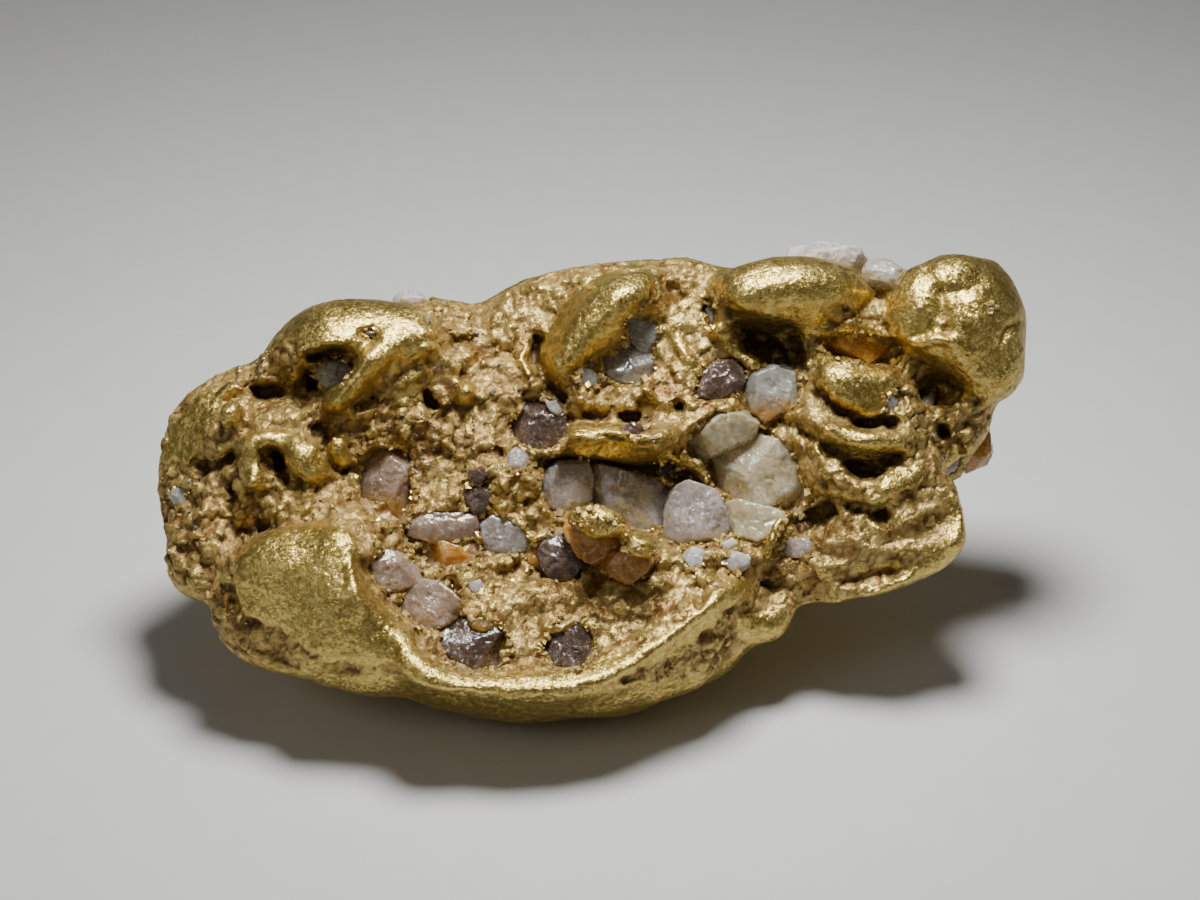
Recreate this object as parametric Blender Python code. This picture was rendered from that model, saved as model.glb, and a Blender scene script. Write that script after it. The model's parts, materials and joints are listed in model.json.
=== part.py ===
"""Gold nugget with quartz grains, at its real size, lying as it rests on a table.

One solid of gold holds separate grains of quartz in pockets. The nugget's broad, hollowed face leans back, so
the places of what shows on it are given on that face: across it, up it and out of it. Sizes are in
millimetres until the last step, which stands the nugget on Z = 0 and turns it into metres.
"""

import math
import random

import bmesh
import bpy
from mathutils import Matrix, Vector, noise
from mathutils.bvhtree import BVHTree

# Driving dimensions, in millimetres and degrees.
FACE_LEAN = 58.0         # how far the broad face is turned up from lying flat
SEAT_DROP = 4.40         # from the middle of the face down to the surface that the nugget rests on
GRAIN_GAP = 0.04         # air left between a quartz grain and its pocket in the gold

# How uneven the gold's skin is: height and width of each bump.
SWELL, SWELL_SIZE = 0.09, 1.3
BUMP, BUMP_SIZE = 0.11, 0.5
WORN_FROM, WORN_OVER = 1.9, 0.625    # up the face, where water has begun to wear the bumps off, and how fast
FAR_SIDE, FAR_WEAR = -2.0, 0.75      # the far side starts this far behind the face, and is worn this much

# How blocky a grain of quartz is (2 is a ball), and how unevenly its corners are spread and pushed in.
BOXINESS = 3.6
TURN_JITTER = 0.35       # radians
CORNER_REACH = 0.86      # of the block's size, the least

# How finely the pieces are made.
VOXEL = 0.15             # grid on which the lumps are fused
GOLD_TRIANGLES = 5400    # what the fused gold is thinned to before the pockets are cut
GRAIN_CORNERS = 26       # corners that a broken grain of quartz starts from
SMALLEST_EDGE = 0.002    # edges shorter than this are collapsed at the end
CLEAR = 30.0             # side of the block below the table, larger than the nugget
PROBE_HEIGHT = 10.0      # from which the skin is felt for, above the face

MM = 0.001

LEVEL = Matrix.Identity(4)
FACE = Matrix.Rotation(math.radians(FACE_LEAN), 4, "X")


# ---------------------------------------------------------------- building blocks


def lump_matrix(frame, at, half, turn=0.0, tip=0.0):
    """Where a lump of these half sizes goes: turned in its frame's own plane, then tipped back about X."""
    spin = Matrix.Rotation(math.radians(turn), 4, "Z")
    back = Matrix.Rotation(math.radians(tip), 4, "X")
    return frame @ Matrix.Translation(at) @ spin @ back @ Matrix.Diagonal((*half, 1.0))


def add_lump(shape, frame, at, half, turn=0.0, tip=0.0):
    """An ellipsoid, given by its middle and its three half sizes."""
    matrix = lump_matrix(frame, at, half, turn, tip)
    bmesh.ops.create_icosphere(shape, subdivisions=3, radius=1.0, matrix=matrix)


def add_ridge(shape, frame, knots):
    """A rounded ridge: a smooth curve through (x, y, z, radius) knots, bevelled round, with rounded ends."""
    curve = bpy.data.curves.new("ridge", "CURVE")
    curve.dimensions = "3D"
    curve.bevel_depth = 1.0
    curve.bevel_resolution = 3
    curve.use_fill_caps = True
    line = curve.splines.new("NURBS")
    line.points.add(len(knots) - 1)
    line.use_endpoint_u = True
    line.order_u = 3
    line.resolution_u = 6
    for point, (*place, radius) in zip(line.points, knots):
        point.co = (*(frame @ Vector(place)), 1.0)
        point.radius = radius
    tube = evaluated(curve)
    shape.from_mesh(tube)
    bpy.data.meshes.remove(tube)
    bpy.data.curves.remove(curve)
    for *place, radius in (knots[0], knots[-1]):
        end = Matrix.Translation(frame @ Vector(place))
        bmesh.ops.create_icosphere(shape, subdivisions=2, radius=radius, matrix=end)


def as_mesh(shape, name):
    """Turns a bmesh into a mesh and frees it."""
    mesh = bpy.data.meshes.new(name)
    shape.to_mesh(mesh)
    shape.free()
    return mesh


def evaluated(data, set_up=None):
    """Gives a mesh or curve, with the modifiers that set_up adds, as a new mesh."""
    holder = bpy.data.objects.new("working", data)
    bpy.context.scene.collection.objects.link(holder)
    if set_up:
        set_up(holder)
    depsgraph = bpy.context.evaluated_depsgraph_get()
    done = bpy.data.meshes.new_from_object(holder.evaluated_get(depsgraph))
    bpy.data.objects.remove(holder)
    return done


def fuse(mesh):
    """Joins overlapping closed shapes into one skin."""

    def set_up(holder):
        remesh = holder.modifiers.new("fuse", "REMESH")
        remesh.mode = "VOXEL"
        remesh.voxel_size = VOXEL

    return evaluated(mesh, set_up)


def minus(mesh, cutter_mesh):
    """Cuts one closed mesh out of another."""
    cutter = bpy.data.objects.new("cutter", cutter_mesh)
    cutter.hide_render = True
    bpy.context.scene.collection.objects.link(cutter)

    def set_up(holder):
        cut = holder.modifiers.new("cut", "BOOLEAN")
        cut.operation = "DIFFERENCE"
        cut.solver = "EXACT"
        cut.object = cutter

    done = evaluated(mesh, set_up)
    bpy.data.objects.remove(cutter)
    return done


def thin_out(mesh, triangles):
    """Thins a mesh to about this many triangles, keeping most of them where it bends."""

    def set_up(holder):
        thin = holder.modifiers.new("thin", "DECIMATE")
        thin.ratio = triangles / (2 * len(mesh.polygons))
        thin.use_collapse_triangulate = True

    return evaluated(mesh, set_up)


# ---------------------------------------------------------------- the gold


def add_core(shape):
    """The heavy mass behind the face, and the worn lobes of the far side."""
    add_lump(shape, LEVEL, at=(0.2, 1.55, -1.3), half=(6.0, 1.95, 2.4))
    add_lump(shape, LEVEL, at=(-4.6, 1.35, -0.9), half=(3.0, 1.6, 2.1))
    add_lump(shape, LEVEL, at=(4.6, 1.75, -0.3), half=(2.9, 1.6, 1.9))
    add_lump(shape, LEVEL, at=(-4.3, 2.2, -0.3), half=(2.2, 1.5, 1.8), turn=14)
    add_lump(shape, LEVEL, at=(-0.8, 2.7, 0.0), half=(2.2, 1.6, 1.9), turn=-6)
    add_lump(shape, LEVEL, at=(2.7, 2.7, 0.4), half=(2.3, 1.5, 1.9), turn=-8)
    add_lump(shape, LEVEL, at=(5.5, 2.3, 0.3), half=(1.9, 1.4, 1.8))
    add_lump(shape, LEVEL, at=(-2.8, 2.3, -2.4), half=(2.4, 1.8, 2.0), turn=10)
    add_lump(shape, LEVEL, at=(1.3, 2.5, -2.5), half=(2.5, 1.8, 1.9), turn=-10)
    add_lump(shape, LEVEL, at=(4.3, 1.6, -1.5), half=(1.9, 1.6, 1.5))


def add_field(shape):
    """The rough middle of the face, a little below the lobes that stand round it, and the hollow's floor."""
    add_lump(shape, FACE, at=(-2.7, 0.75, -1.15), half=(2.2, 1.5, 1.05), turn=-6)
    add_lump(shape, FACE, at=(-5.2, 0.2, -1.2), half=(2.0, 1.6, 1.0))
    add_lump(shape, FACE, at=(0.4, 0.9, -1.50), half=(2.0, 1.3, 1.1))
    add_lump(shape, FACE, at=(2.7, 0.4, -1.25), half=(1.6, 1.4, 1.1))
    add_lump(shape, FACE, at=(-0.9, -1.3, -1.0), half=(4.2, 2.4, 1.5))
    add_lump(shape, FACE, at=(2.8, -1.4, -0.9), half=(1.6, 1.5, 1.1))


def add_belly(shape):
    """The bulging outer wall under the hollow's lower rim, and the four heels that the nugget stands on."""
    add_lump(shape, LEVEL, at=(-1.1, -1.9, -2.70), half=(3.7, 1.85, 1.72))
    add_lump(shape, LEVEL, at=(-4.0, -1.9, -2.1), half=(2.4, 1.7, 1.8), turn=-12)
    add_lump(shape, LEVEL, at=(1.3, -1.1, -2.6), half=(1.8, 1.6, 1.7))
    add_lump(shape, LEVEL, at=(-0.9, 0.4, -3.0), half=(3.3, 2.5, 1.2))
    for across, back in ((-2.3, -1.5), (1.0, -0.9), (-2.5, 2.2), (1.7, 2.0)):
        add_lump(shape, LEVEL, at=(across, back, -3.0), half=(1.5, 1.2, 1.56))


def add_top_lobes(shape):
    """The row of water-worn lobes along the upper edge, with the rough crest that joins them behind."""
    add_lump(shape, FACE, at=(-4.65, 1.98, -0.80), half=(1.60, 0.90, 1.3), turn=8)
    add_lump(shape, FACE, at=(-3.70, 2.00, -0.65), half=(0.85, 0.80, 1.1))
    add_lump(shape, FACE, at=(-3.3, 2.45, -1.7), half=(1.0, 0.5, 1.1))
    add_lump(shape, FACE, at=(0.12, 2.50, -0.60), half=(1.35, 0.58, 1.0), turn=38)
    add_lump(shape, FACE, at=(-0.75, 1.48, -0.35), half=(0.50, 0.42, 0.65))
    add_lump(shape, FACE, at=(-0.2, 3.05, -1.7), half=(1.7, 0.55, 1.1), turn=8)
    add_lump(shape, FACE, at=(1.5, 3.05, -1.8), half=(1.5, 0.65, 1.1))
    add_lump(shape, FACE, at=(3.65, 2.98, -0.60), half=(1.40, 0.70, 1.0), turn=2)
    add_lump(shape, FACE, at=(2.75, 2.78, -0.65), half=(0.65, 0.75, 1.0))
    add_lump(shape, FACE, at=(4.4, 3.25, -1.9), half=(1.6, 0.55, 1.0))


def add_folds(shape):
    """Narrow folds that run down the face between the lobes."""
    add_ridge(shape, FACE, [(-1.75, 2.5, -1.2, 0.32), (-1.35, 1.9, -0.8, 0.30), (-1.45, 1.0, -0.4, 0.24)])
    add_ridge(shape, FACE, [(-2.3, 2.3, -1.3, 0.30), (-2.2, 1.6, -0.8, 0.28), (-2.0, 0.9, -0.3, 0.22)])
    add_ridge(shape, FACE, [(1.15, 2.9, -1.2, 0.28), (1.35, 2.0, -0.7, 0.24), (1.15, 1.0, -0.3, 0.24)])
    add_ridge(shape, FACE, [(1.9, 2.8, -1.2, 0.28), (1.75, 1.9, -0.8, 0.22), (1.75, 1.2, -0.4, 0.20)])
    add_ridge(shape, FACE, [(-3.1, 1.9, -0.9, 0.30), (-2.9, 1.2, -0.5, 0.26), (-3.4, 0.7, -0.1, 0.22)])


def add_right_end(shape):
    """The big round knob at the right, the plate folded against it, and the part of it that hangs behind."""
    add_lump(shape, FACE, at=(6.80, 2.35, -1.15), half=(1.20, 1.50, 1.35))
    add_lump(shape, FACE, at=(6.65, 3.10, -0.85), half=(0.85, 0.70, 0.85))
    add_lump(shape, FACE, at=(7.15, 1.65, -1.10), half=(0.80, 0.90, 1.10))
    add_lump(shape, FACE, at=(5.85, 2.50, -0.65), half=(0.55, 1.05, 0.75), turn=-6)
    add_ridge(shape, FACE, [(5.60, 1.75, -0.20, 0.19), (6.05, 1.68, -0.05, 0.20), (6.55, 1.85, -0.05, 0.22)])
    add_lump(shape, FACE, at=(6.65, 0.30, -2.2), half=(0.80, 1.00, 1.0))


def add_right_flank(shape):
    """Lumps and ridges stepping down the right of the face to a thick smooth rim."""
    add_lump(shape, FACE, at=(4.9, 0.0, -0.5), half=(1.6, 1.2, 0.65))
    add_lump(shape, FACE, at=(4.60, 1.20, -0.20), half=(0.80, 0.48, 0.65), turn=-22)
    add_lump(shape, FACE, at=(5.50, 1.05, -0.40), half=(0.28, 0.42, 0.50))
    add_lump(shape, FACE, at=(6.05, 1.05, -0.70), half=(0.28, 0.36, 0.45))
    add_ridge(shape, FACE, [(3.8, 0.75, 0.00, 0.24), (4.6, 0.42, 0.22, 0.30), (5.6, 0.38, 0.10, 0.27)])
    add_ridge(shape, FACE, [(4.1, 0.00, 0.15, 0.24), (4.9, -0.25, 0.32, 0.30), (6.0, -0.12, -0.05, 0.27)])
    add_ridge(shape, FACE, [(4.2, -0.75, 0.20, 0.22), (5.1, -0.92, 0.34, 0.28), (6.1, -0.75, 0.02, 0.27)])
    add_lump(shape, FACE, at=(5.10, -1.70, -0.30), half=(1.75, 1.00, 0.75), turn=14)
    add_ridge(
        shape,
        FACE,
        [
            (3.6, -2.70, 0.00, 0.26),
            (4.6, -2.62, 0.15, 0.34),
            (5.7, -2.30, 0.20, 0.38),
            (6.45, -1.75, 0.10, 0.38),
            (6.60, -1.15, -0.10, 0.32),
            (6.45, -0.65, -0.30, 0.28),
        ],
    )
    add_lump(shape, FACE, at=(3.10, -3.30, -0.10), half=(0.64, 0.30, 0.42), turn=12)


def add_left_end(shape):
    """The lumpy left end: a thick outer edge, blocks below the dome, and a small arch."""
    add_ridge(
        shape,
        FACE,
        [
            (-6.7, 1.25, -1.0, 0.40),
            (-7.35, 0.75, -0.9, 0.44),
            (-7.68, -0.10, -0.8, 0.44),
            (-7.68, -0.90, -0.7, 0.42),
            (-7.35, -1.70, -0.5, 0.50),
        ],
    )
    add_lump(shape, FACE, at=(-5.90, 1.45, -0.60), half=(0.62, 0.45, 0.55), turn=20)
    add_lump(shape, FACE, at=(-6.80, 0.65, -0.50), half=(0.36, 0.38, 0.45))
    add_lump(shape, FACE, at=(-6.10, 0.65, -0.40), half=(0.62, 0.28, 0.50))
    add_lump(shape, FACE, at=(-6.6, -0.4, -0.6), half=(1.0, 1.2, 0.8))
    add_ridge(shape, FACE, [(-6.55, -0.75, 0.05, 0.26), (-6.62, 0.0, 0.15, 0.28), (-6.15, 0.30, 0.20, 0.26),
                            (-5.75, 0.10, 0.25, 0.22)])
    add_lump(shape, FACE, at=(-5.40, -0.18, 0.20), half=(0.36, 0.42, 0.45))
    add_lump(shape, FACE, at=(-5.70, -0.95, 0.10), half=(1.20, 0.55, 0.60))
    add_lump(shape, FACE, at=(-7.0, -2.0, -0.3), half=(0.75, 0.95, 0.90), turn=-30)


def add_hollow_rim(shape):
    """The flap at the lower left and the thin rolled lip that runs on from it round the hollow."""
    add_lump(shape, FACE, at=(-5.55, -2.20, 0.85), half=(1.20, 0.85, 1.05), turn=4)
    add_lump(shape, FACE, at=(-5.95, -2.95, 0.55), half=(1.10, 1.10, 0.95), turn=-20)
    add_lump(shape, FACE, at=(-4.9, -3.3, 0.9), half=(1.1, 1.0, 1.0), turn=-30)
    add_ridge(
        shape,
        FACE,
        [
            (-4.75, -1.55, 1.60, 0.24),
            (-4.35, -2.30, 1.85, 0.24),
            (-4.05, -3.00, 1.95, 0.24),
            (-3.60, -3.50, 2.00, 0.23),
            (-3.35, -4.05, 2.05, 0.24),
            (-2.80, -4.25, 2.10, 0.24),
            (-0.80, -4.35, 2.05, 0.24),
            (0.50, -4.05, 1.75, 0.24),
            (1.25, -3.45, 1.40, 0.26),
            (1.95, -2.90, 1.05, 0.28),
            (2.50, -2.55, 0.75, 0.28),
        ],
    )


def hollows():
    """What is missing from the face: the broad hollow for the quartz, and the deep gaps under the lobes."""
    shape = bmesh.new()
    add_lump(shape, FACE, at=(-0.95, -2.15, 2.15), half=(3.45, 2.20, 1.60), tip=-27)
    add_lump(shape, FACE, at=(0.7, -0.95, 1.45), half=(3.0, 1.5, 1.25), tip=-14)
    add_lump(shape, FACE, at=(-3.5, -0.5, 1.45), half=(1.35, 1.3, 1.15), tip=-10)
    add_lump(shape, FACE, at=(-5.10, 1.45, 0.10), half=(0.48, 0.26, 0.75))
    add_lump(shape, FACE, at=(5.00, 1.92, -0.05), half=(1.00, 0.30, 1.25), turn=-6)
    add_lump(shape, FACE, at=(6.35, 1.20, -0.15), half=(0.70, 0.42, 1.20), turn=-18)
    add_lump(shape, FACE, at=(3.00, 1.85, 0.05), half=(1.1, 0.34, 1.00), turn=-30)
    add_lump(shape, FACE, at=(0.95, 1.75, 0.05), half=(0.60, 0.36, 0.90), turn=30)
    add_lump(shape, FACE, at=(-1.15, 2.30, 0.05), half=(0.60, 0.16, 0.90), turn=50)
    add_lump(shape, FACE, at=(-3.6, 1.10, 0.15), half=(0.90, 0.22, 0.60), turn=20)
    add_lump(shape, FACE, at=(-5.75, 0.98, 0.0), half=(1.00, 0.16, 0.60), turn=4)
    add_lump(shape, FACE, at=(3.40, -2.98, 1.00), half=(0.70, 0.18, 0.80), turn=4)
    add_lump(shape, FACE, at=(0.70, -0.20, 0.80), half=(1.60, 0.24, 0.75))
    add_lump(shape, FACE, at=(-5.88, -0.40, 0.55), half=(0.15, 0.52, 0.75))
    add_lump(shape, FACE, at=(6.65, 2.55, 0.35), half=(0.24, 0.30, 0.32))
    return as_mesh(shape, "hollows")


def add_inside_hollow(shape):
    """Gold that stands in the hollow: the ledge over the quartz, two beads, a fold, and the dome's tongue."""
    add_ridge(shape, FACE, [(-1.1, 0.15, 0.15, 0.22), (-0.2, 0.08, 0.35, 0.27), (0.8, 0.25, 0.35, 0.27),
                            (1.6, 0.32, 0.20, 0.24), (2.1, 0.15, 0.05, 0.20)])
    add_lump(shape, FACE, at=(-0.15, -1.38, 0.70), half=(0.62, 0.32, 0.45), turn=-10)
    add_lump(shape, FACE, at=(0.70, -1.85, 0.78), half=(0.42, 0.36, 0.42), turn=-40)
    add_ridge(shape, FACE, [(-2.2, -2.9, 0.85, 0.28), (-1.0, -2.7, 0.78, 0.30), (0.4, -2.8, 0.85, 0.32),
                            (1.3, -2.4, 0.7, 0.28)])
    add_lump(shape, FACE, at=(-2.3, -3.55, 1.15), half=(1.0, 0.55, 0.45), turn=-8)
    add_lump(shape, FACE, at=(-0.5, -3.60, 1.15), half=(1.1, 0.55, 0.45), turn=6)
    add_lump(shape, FACE, at=(0.8, -3.05, 0.85), half=(0.8, 0.5, 0.45), turn=30)
    add_ridge(shape, FACE, [(-4.0, 1.75, -0.05, 0.40), (-4.4, 1.30, 0.15, 0.27), (-4.85, 0.85, 0.20, 0.24)])


def roughen(mesh):
    """Uneven natural skin: broad swells everywhere, and small bumps and pits where water has not worn it."""
    to_face = FACE.inverted()
    normals = [vertex.normal.copy() for vertex in mesh.vertices]
    for vertex, normal in zip(mesh.vertices, normals):
        _, up, out = to_face @ vertex.co
        worn = max(0.0, min(1.0, (up - WORN_FROM) / WORN_OVER)) if out > FAR_SIDE else FAR_WEAR
        height = SWELL * noise.noise(vertex.co / SWELL_SIZE)
        height += (1.0 - worn) * BUMP * noise.noise(vertex.co / BUMP_SIZE)
        vertex.co += normal * height


def wear_seat(skin):
    """Wears the underside flat where the nugget rests."""
    below = bmesh.new()
    matrix = Matrix.Translation((0, 0, -SEAT_DROP - CLEAR / 2)) @ Matrix.Scale(CLEAR, 4)
    bmesh.ops.create_cube(below, size=1.0, matrix=matrix)
    return minus(skin, as_mesh(below, "below"))


def gold_mesh():
    """Fuses the lumps, carves the hollows and fills them, then roughens, thins and seats the skin."""
    body = bmesh.new()
    for add in (add_core, add_field, add_belly, add_top_lobes, add_folds, add_right_end, add_right_flank,
                add_left_end, add_hollow_rim):
        add(body)
    carved = minus(fuse(as_mesh(body, "body")), fuse(hollows()))
    whole = bmesh.new()
    whole.from_mesh(carved)
    add_inside_hollow(whole)
    skin = fuse(as_mesh(whole, "whole"))
    roughen(skin)
    return wear_seat(thin_out(skin, GOLD_TRIANGLES))


# ---------------------------------------------------------------- the quartz

# Colours, as red, green and blue.
GOLD = (0.50, 0.33, 0.09)
PALE = (0.42, 0.38, 0.26)
VIOLET = (0.24, 0.20, 0.20)
SMOKY = (0.16, 0.10, 0.08)
DARK = (0.06, 0.04, 0.05)
GREY = (0.22, 0.23, 0.24)
AMBER = (0.45, 0.20, 0.05)
MILKY = (0.50, 0.50, 0.55)

# Each grain: name, colour, (across, up) on the face, half sizes, turn, and how far it stands out of the gold.
FACE_GRAINS = [
    ("quartz_pale_main", PALE, (3.10, -0.33), (1.00, 0.84, 0.60), -20, 0.40),
    ("quartz_pale_upper", PALE, (2.05, 0.20), (0.60, 0.62, 0.48), 10, 0.30),
    ("quartz_pale_lower", PALE, (2.98, -1.38), (0.62, 0.40, 0.40), -6, 0.26),
    ("quartz_violet_left", VIOLET, (-0.58, -0.65), (0.54, 0.60, 0.48), 0, 0.20),
    ("quartz_violet_middle", VIOLET, (0.62, -0.86), (0.96, 0.64, 0.52), -12, 0.30),
    ("quartz_violet_right", VIOLET, (1.80, -1.32), (0.62, 0.80, 0.48), 25, 0.28),
    ("quartz_smoky_left", SMOKY, (-4.02, -0.56), (0.64, 0.80, 0.52), 4, 0.32),
    ("quartz_smoky_brown", SMOKY, (-3.90, -2.35), (0.74, 0.46, 0.46), -25, 0.20),
    ("quartz_smoky_low", SMOKY, (-3.12, -2.94), (0.56, 0.46, 0.42), -20, 0.20),
    ("quartz_lilac_left", SMOKY, (-3.15, -1.66), (0.70, 0.68, 0.50), 10, 0.22),
    ("quartz_lilac_right", VIOLET, (-2.02, -1.56), (0.68, 0.48, 0.46), -8, 0.22),
    ("quartz_dark_crystal", DARK, (-0.76, -1.98), (0.52, 0.54, 0.46), 20, 0.34),
    ("quartz_dark_ledge", DARK, (-1.12, 0.50), (0.54, 0.56, 0.46), 30, 0.22),
    ("quartz_dark_upper", DARK, (2.15, 1.30), (0.44, 0.36, 0.38), -10, 0.24),
    ("quartz_clear_round", GREY, (3.15, 0.98), (0.54, 0.54, 0.48), 15, 0.38),
    ("quartz_dark_rim_left", DARK, (-2.42, -3.56), (0.56, 0.42, 0.42), 6, 0.20),
    ("quartz_dark_rim_right", DARK, (-0.58, -3.58), (0.52, 0.42, 0.42), -8, 0.20),
    ("quartz_grey_lobe", GREY, (0.50, 1.62), (0.50, 0.44, 0.42), 15, 0.20),
    ("quartz_grey_lobe_top", GREY, (0.80, 2.24), (0.31, 0.36, 0.32), 0, 0.16),
    ("quartz_grey_eye", GREY, (-4.98, 1.42), (0.33, 0.25, 0.30), 12, 0.16),
    ("quartz_amber_bead_left", AMBER, (-0.02, -1.74), (0.48, 0.28, 0.36), -8, 0.26),
    ("quartz_amber_bead_right", AMBER, (0.42, -2.26), (0.36, 0.28, 0.32), -30, 0.26),
]

# Grains at the nugget's edges: name, colour, (across, up, out), half sizes and turn.
EDGE_GRAINS = [
    ("quartz_top_crest", MILKY, (4.40, 3.60, -1.50), (1.10, 0.36, 0.50), 2),
    ("quartz_top_patch", GREY, (5.35, 3.28, -0.95), (0.46, 0.32, 0.44), -14),
    ("quartz_top_left", MILKY, (-3.62, 2.76, -1.45), (0.40, 0.26, 0.40), 4),
    ("quartz_right_sliver", GREY, (6.10, 0.74, -1.10), (0.20, 0.46, 0.36), -8),
    ("quartz_right_white", MILKY, (6.45, -0.12, -1.45), (0.36, 0.42, 0.42), 0),
    ("quartz_right_amber", AMBER, (7.12, 0.05, -2.05), (0.42, 0.54, 0.46), 10),
    ("quartz_amber_cave", AMBER, (4.75, 1.90, -1.05), (0.78, 0.32, 0.44), -6),
]


def broken_corners(seed):
    """Corners of a broken grain in a unit box: spread evenly, pushed out to be blocky, and jittered."""
    jitter = random.Random(seed)
    golden_turn = math.pi * (3.0 - math.sqrt(5.0))
    corners = []
    for i in range(GRAIN_CORNERS):
        height = 1.0 - 2.0 * (i + 0.5) / GRAIN_CORNERS
        width = math.sqrt(1.0 - height * height)
        turn = golden_turn * i + jitter.uniform(-TURN_JITTER, TURN_JITTER)
        way = Vector((width * math.cos(turn), width * math.sin(turn), height))
        reach = sum(abs(side) ** BOXINESS for side in way) ** (1.0 / BOXINESS)
        corners.append(way / reach * jitter.uniform(CORNER_REACH, 1.0))
    return corners


def grain_mesh(at, half, turn, seed, swell=0.0):
    """A convex broken grain; swell makes it larger all round, for its pocket."""
    shape = bmesh.new()
    grown = [size + swell for size in half]
    matrix = lump_matrix(FACE, at, grown, turn)
    for corner in broken_corners(seed):
        shape.verts.new(matrix @ corner)
    hull = bmesh.ops.convex_hull(shape, input=shape.verts)
    inside = [geom for geom in hull["geom_interior"] if isinstance(geom, bmesh.types.BMVert)]
    bmesh.ops.delete(shape, geom=inside, context="VERTS")
    return shape


def seat_depth(skin_tree, across, up):
    """How far out of the face's plane the gold's skin lies here."""
    start = FACE @ Vector((across, up, PROBE_HEIGHT))
    ahead = FACE.to_3x3() @ Vector((0, 0, -1))
    hit = skin_tree.ray_cast(start, ahead)[0]
    return (FACE.inverted() @ hit).z


def placed_grains(skin):
    """Every grain as (name, colour, place, half sizes, turn), with the face grains sunk into the skin."""
    tree = BVHTree.FromPolygons([v.co for v in skin.vertices], [p.vertices for p in skin.polygons])
    placed = []
    for name, colour, (across, up), half, turn, stands_out in FACE_GRAINS:
        out = seat_depth(tree, across, up) + stands_out - half[2]
        placed.append((name, colour, (across, up, out), half, turn))
    placed.extend(EDGE_GRAINS)
    return placed


def part_neighbours(shapes, places, gap):
    """Where two grains would overlap, trims each flat, square to the line between their middles."""
    for i, first in enumerate(shapes):
        for j in range(i + 1, len(shapes)):
            second = shapes[j]
            if not BVHTree.FromBMesh(first).overlap(BVHTree.FromBMesh(second)):
                continue
            middle = (places[i] + places[j]) / 2
            apart = (places[j] - places[i]).normalized()
            for shape, side in ((first, 1.0), (second, -1.0)):
                trim(shape, middle - apart * side * gap / 2, apart * side)


def trim(shape, point, outward):
    """Cuts off what lies beyond a plane and closes the cut."""
    geom = shape.verts[:] + shape.edges[:] + shape.faces[:]
    bmesh.ops.bisect_plane(shape, geom=geom, plane_co=point, plane_no=outward, clear_outer=True)
    rim = [edge for edge in shape.edges if edge.is_boundary]
    bmesh.ops.contextual_create(shape, geom=rim)
    bmesh.ops.triangulate(shape, faces=shape.faces)


# ---------------------------------------------------------------- putting it together


def clear_scene():
    for obj in list(bpy.data.objects):
        bpy.data.objects.remove(obj)


def plain_material(name, colour, roughness, metallic):
    material = bpy.data.materials.new(name)
    material.use_nodes = True
    shader = material.node_tree.nodes["Principled BSDF"]
    shader.inputs["Base Color"].default_value = (*colour, 1.0)
    shader.inputs["Roughness"].default_value = roughness
    shader.inputs["Metallic"].default_value = metallic
    return material


def footprint_middle(meshes):
    """The middle of the nugget seen from above."""
    spots = [vertex.co for mesh in meshes for vertex in mesh.vertices]
    across = [spot.x for spot in spots]
    back = [spot.y for spot in spots]
    return Vector(((min(across) + max(across)) / 2, (min(back) + max(back)) / 2, 0.0))


def finish(name, mesh, material, middle):
    """Turns a millimetre mesh into a named object in metres, on Z = 0 and centred over its footprint."""
    raised = Vector((0, 0, SEAT_DROP)) - middle
    mesh.transform(Matrix.Scale(MM, 4) @ Matrix.Translation(raised))
    mesh.name = name
    mesh.materials.clear()
    mesh.materials.append(material)
    obj = bpy.data.objects.new(name, mesh)
    bpy.context.scene.collection.objects.link(obj)


def triangles_only(mesh):
    """Splits every face into triangles and drops any that have no area."""
    shape = bmesh.new()
    shape.from_mesh(mesh)
    bmesh.ops.triangulate(shape, faces=shape.faces)
    bmesh.ops.dissolve_degenerate(shape, dist=SMALLEST_EDGE, edges=shape.edges)
    bmesh.ops.triangulate(shape, faces=shape.faces)
    return as_mesh(shape, mesh.name)


def main():
    """Makes the gold, seats the grains in it, cuts a pocket for each, and names and colours every piece."""
    clear_scene()
    skin = gold_mesh()
    grains = placed_grains(skin)
    places = [FACE @ Vector(at) for _, _, at, _, _ in grains]
    shapes = [grain_mesh(at, half, turn, seed) for seed, (_, _, at, half, turn) in enumerate(grains)]
    pockets = [
        grain_mesh(at, half, turn, seed, GRAIN_GAP) for seed, (_, _, at, half, turn) in enumerate(grains)
    ]
    part_neighbours(shapes, places, GRAIN_GAP)
    for pocket in pockets:
        skin = minus(skin, as_mesh(pocket, "pocket"))
    skin = triangles_only(skin)
    pieces = [as_mesh(shape, "grain") for shape in shapes]
    middle = footprint_middle([skin, *pieces])
    finish("gold", skin, plain_material("gold", GOLD, 0.40, 1.0), middle)
    for piece, (name, colour, *_) in zip(pieces, grains):
        finish(name, piece, plain_material(name, colour, 0.25, 0.0), middle)


main()
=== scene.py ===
# %% [markdown]
# # A gold nugget with quartz in its hollow
#
# The nugget is one piece of gold that holds loose grains of quartz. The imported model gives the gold's main
# forms and the place of every grain. This file gives them their surface: crumbs, folds, pits, broken quartz
# and the finishes. It is worked in millimetres, because a nugget is small and Blender's own unit is a metre.

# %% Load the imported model
import json
import math

import bmesh
import bpy
import numpy as np
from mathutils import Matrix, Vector
from mathutils.bvhtree import BVHTree


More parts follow.
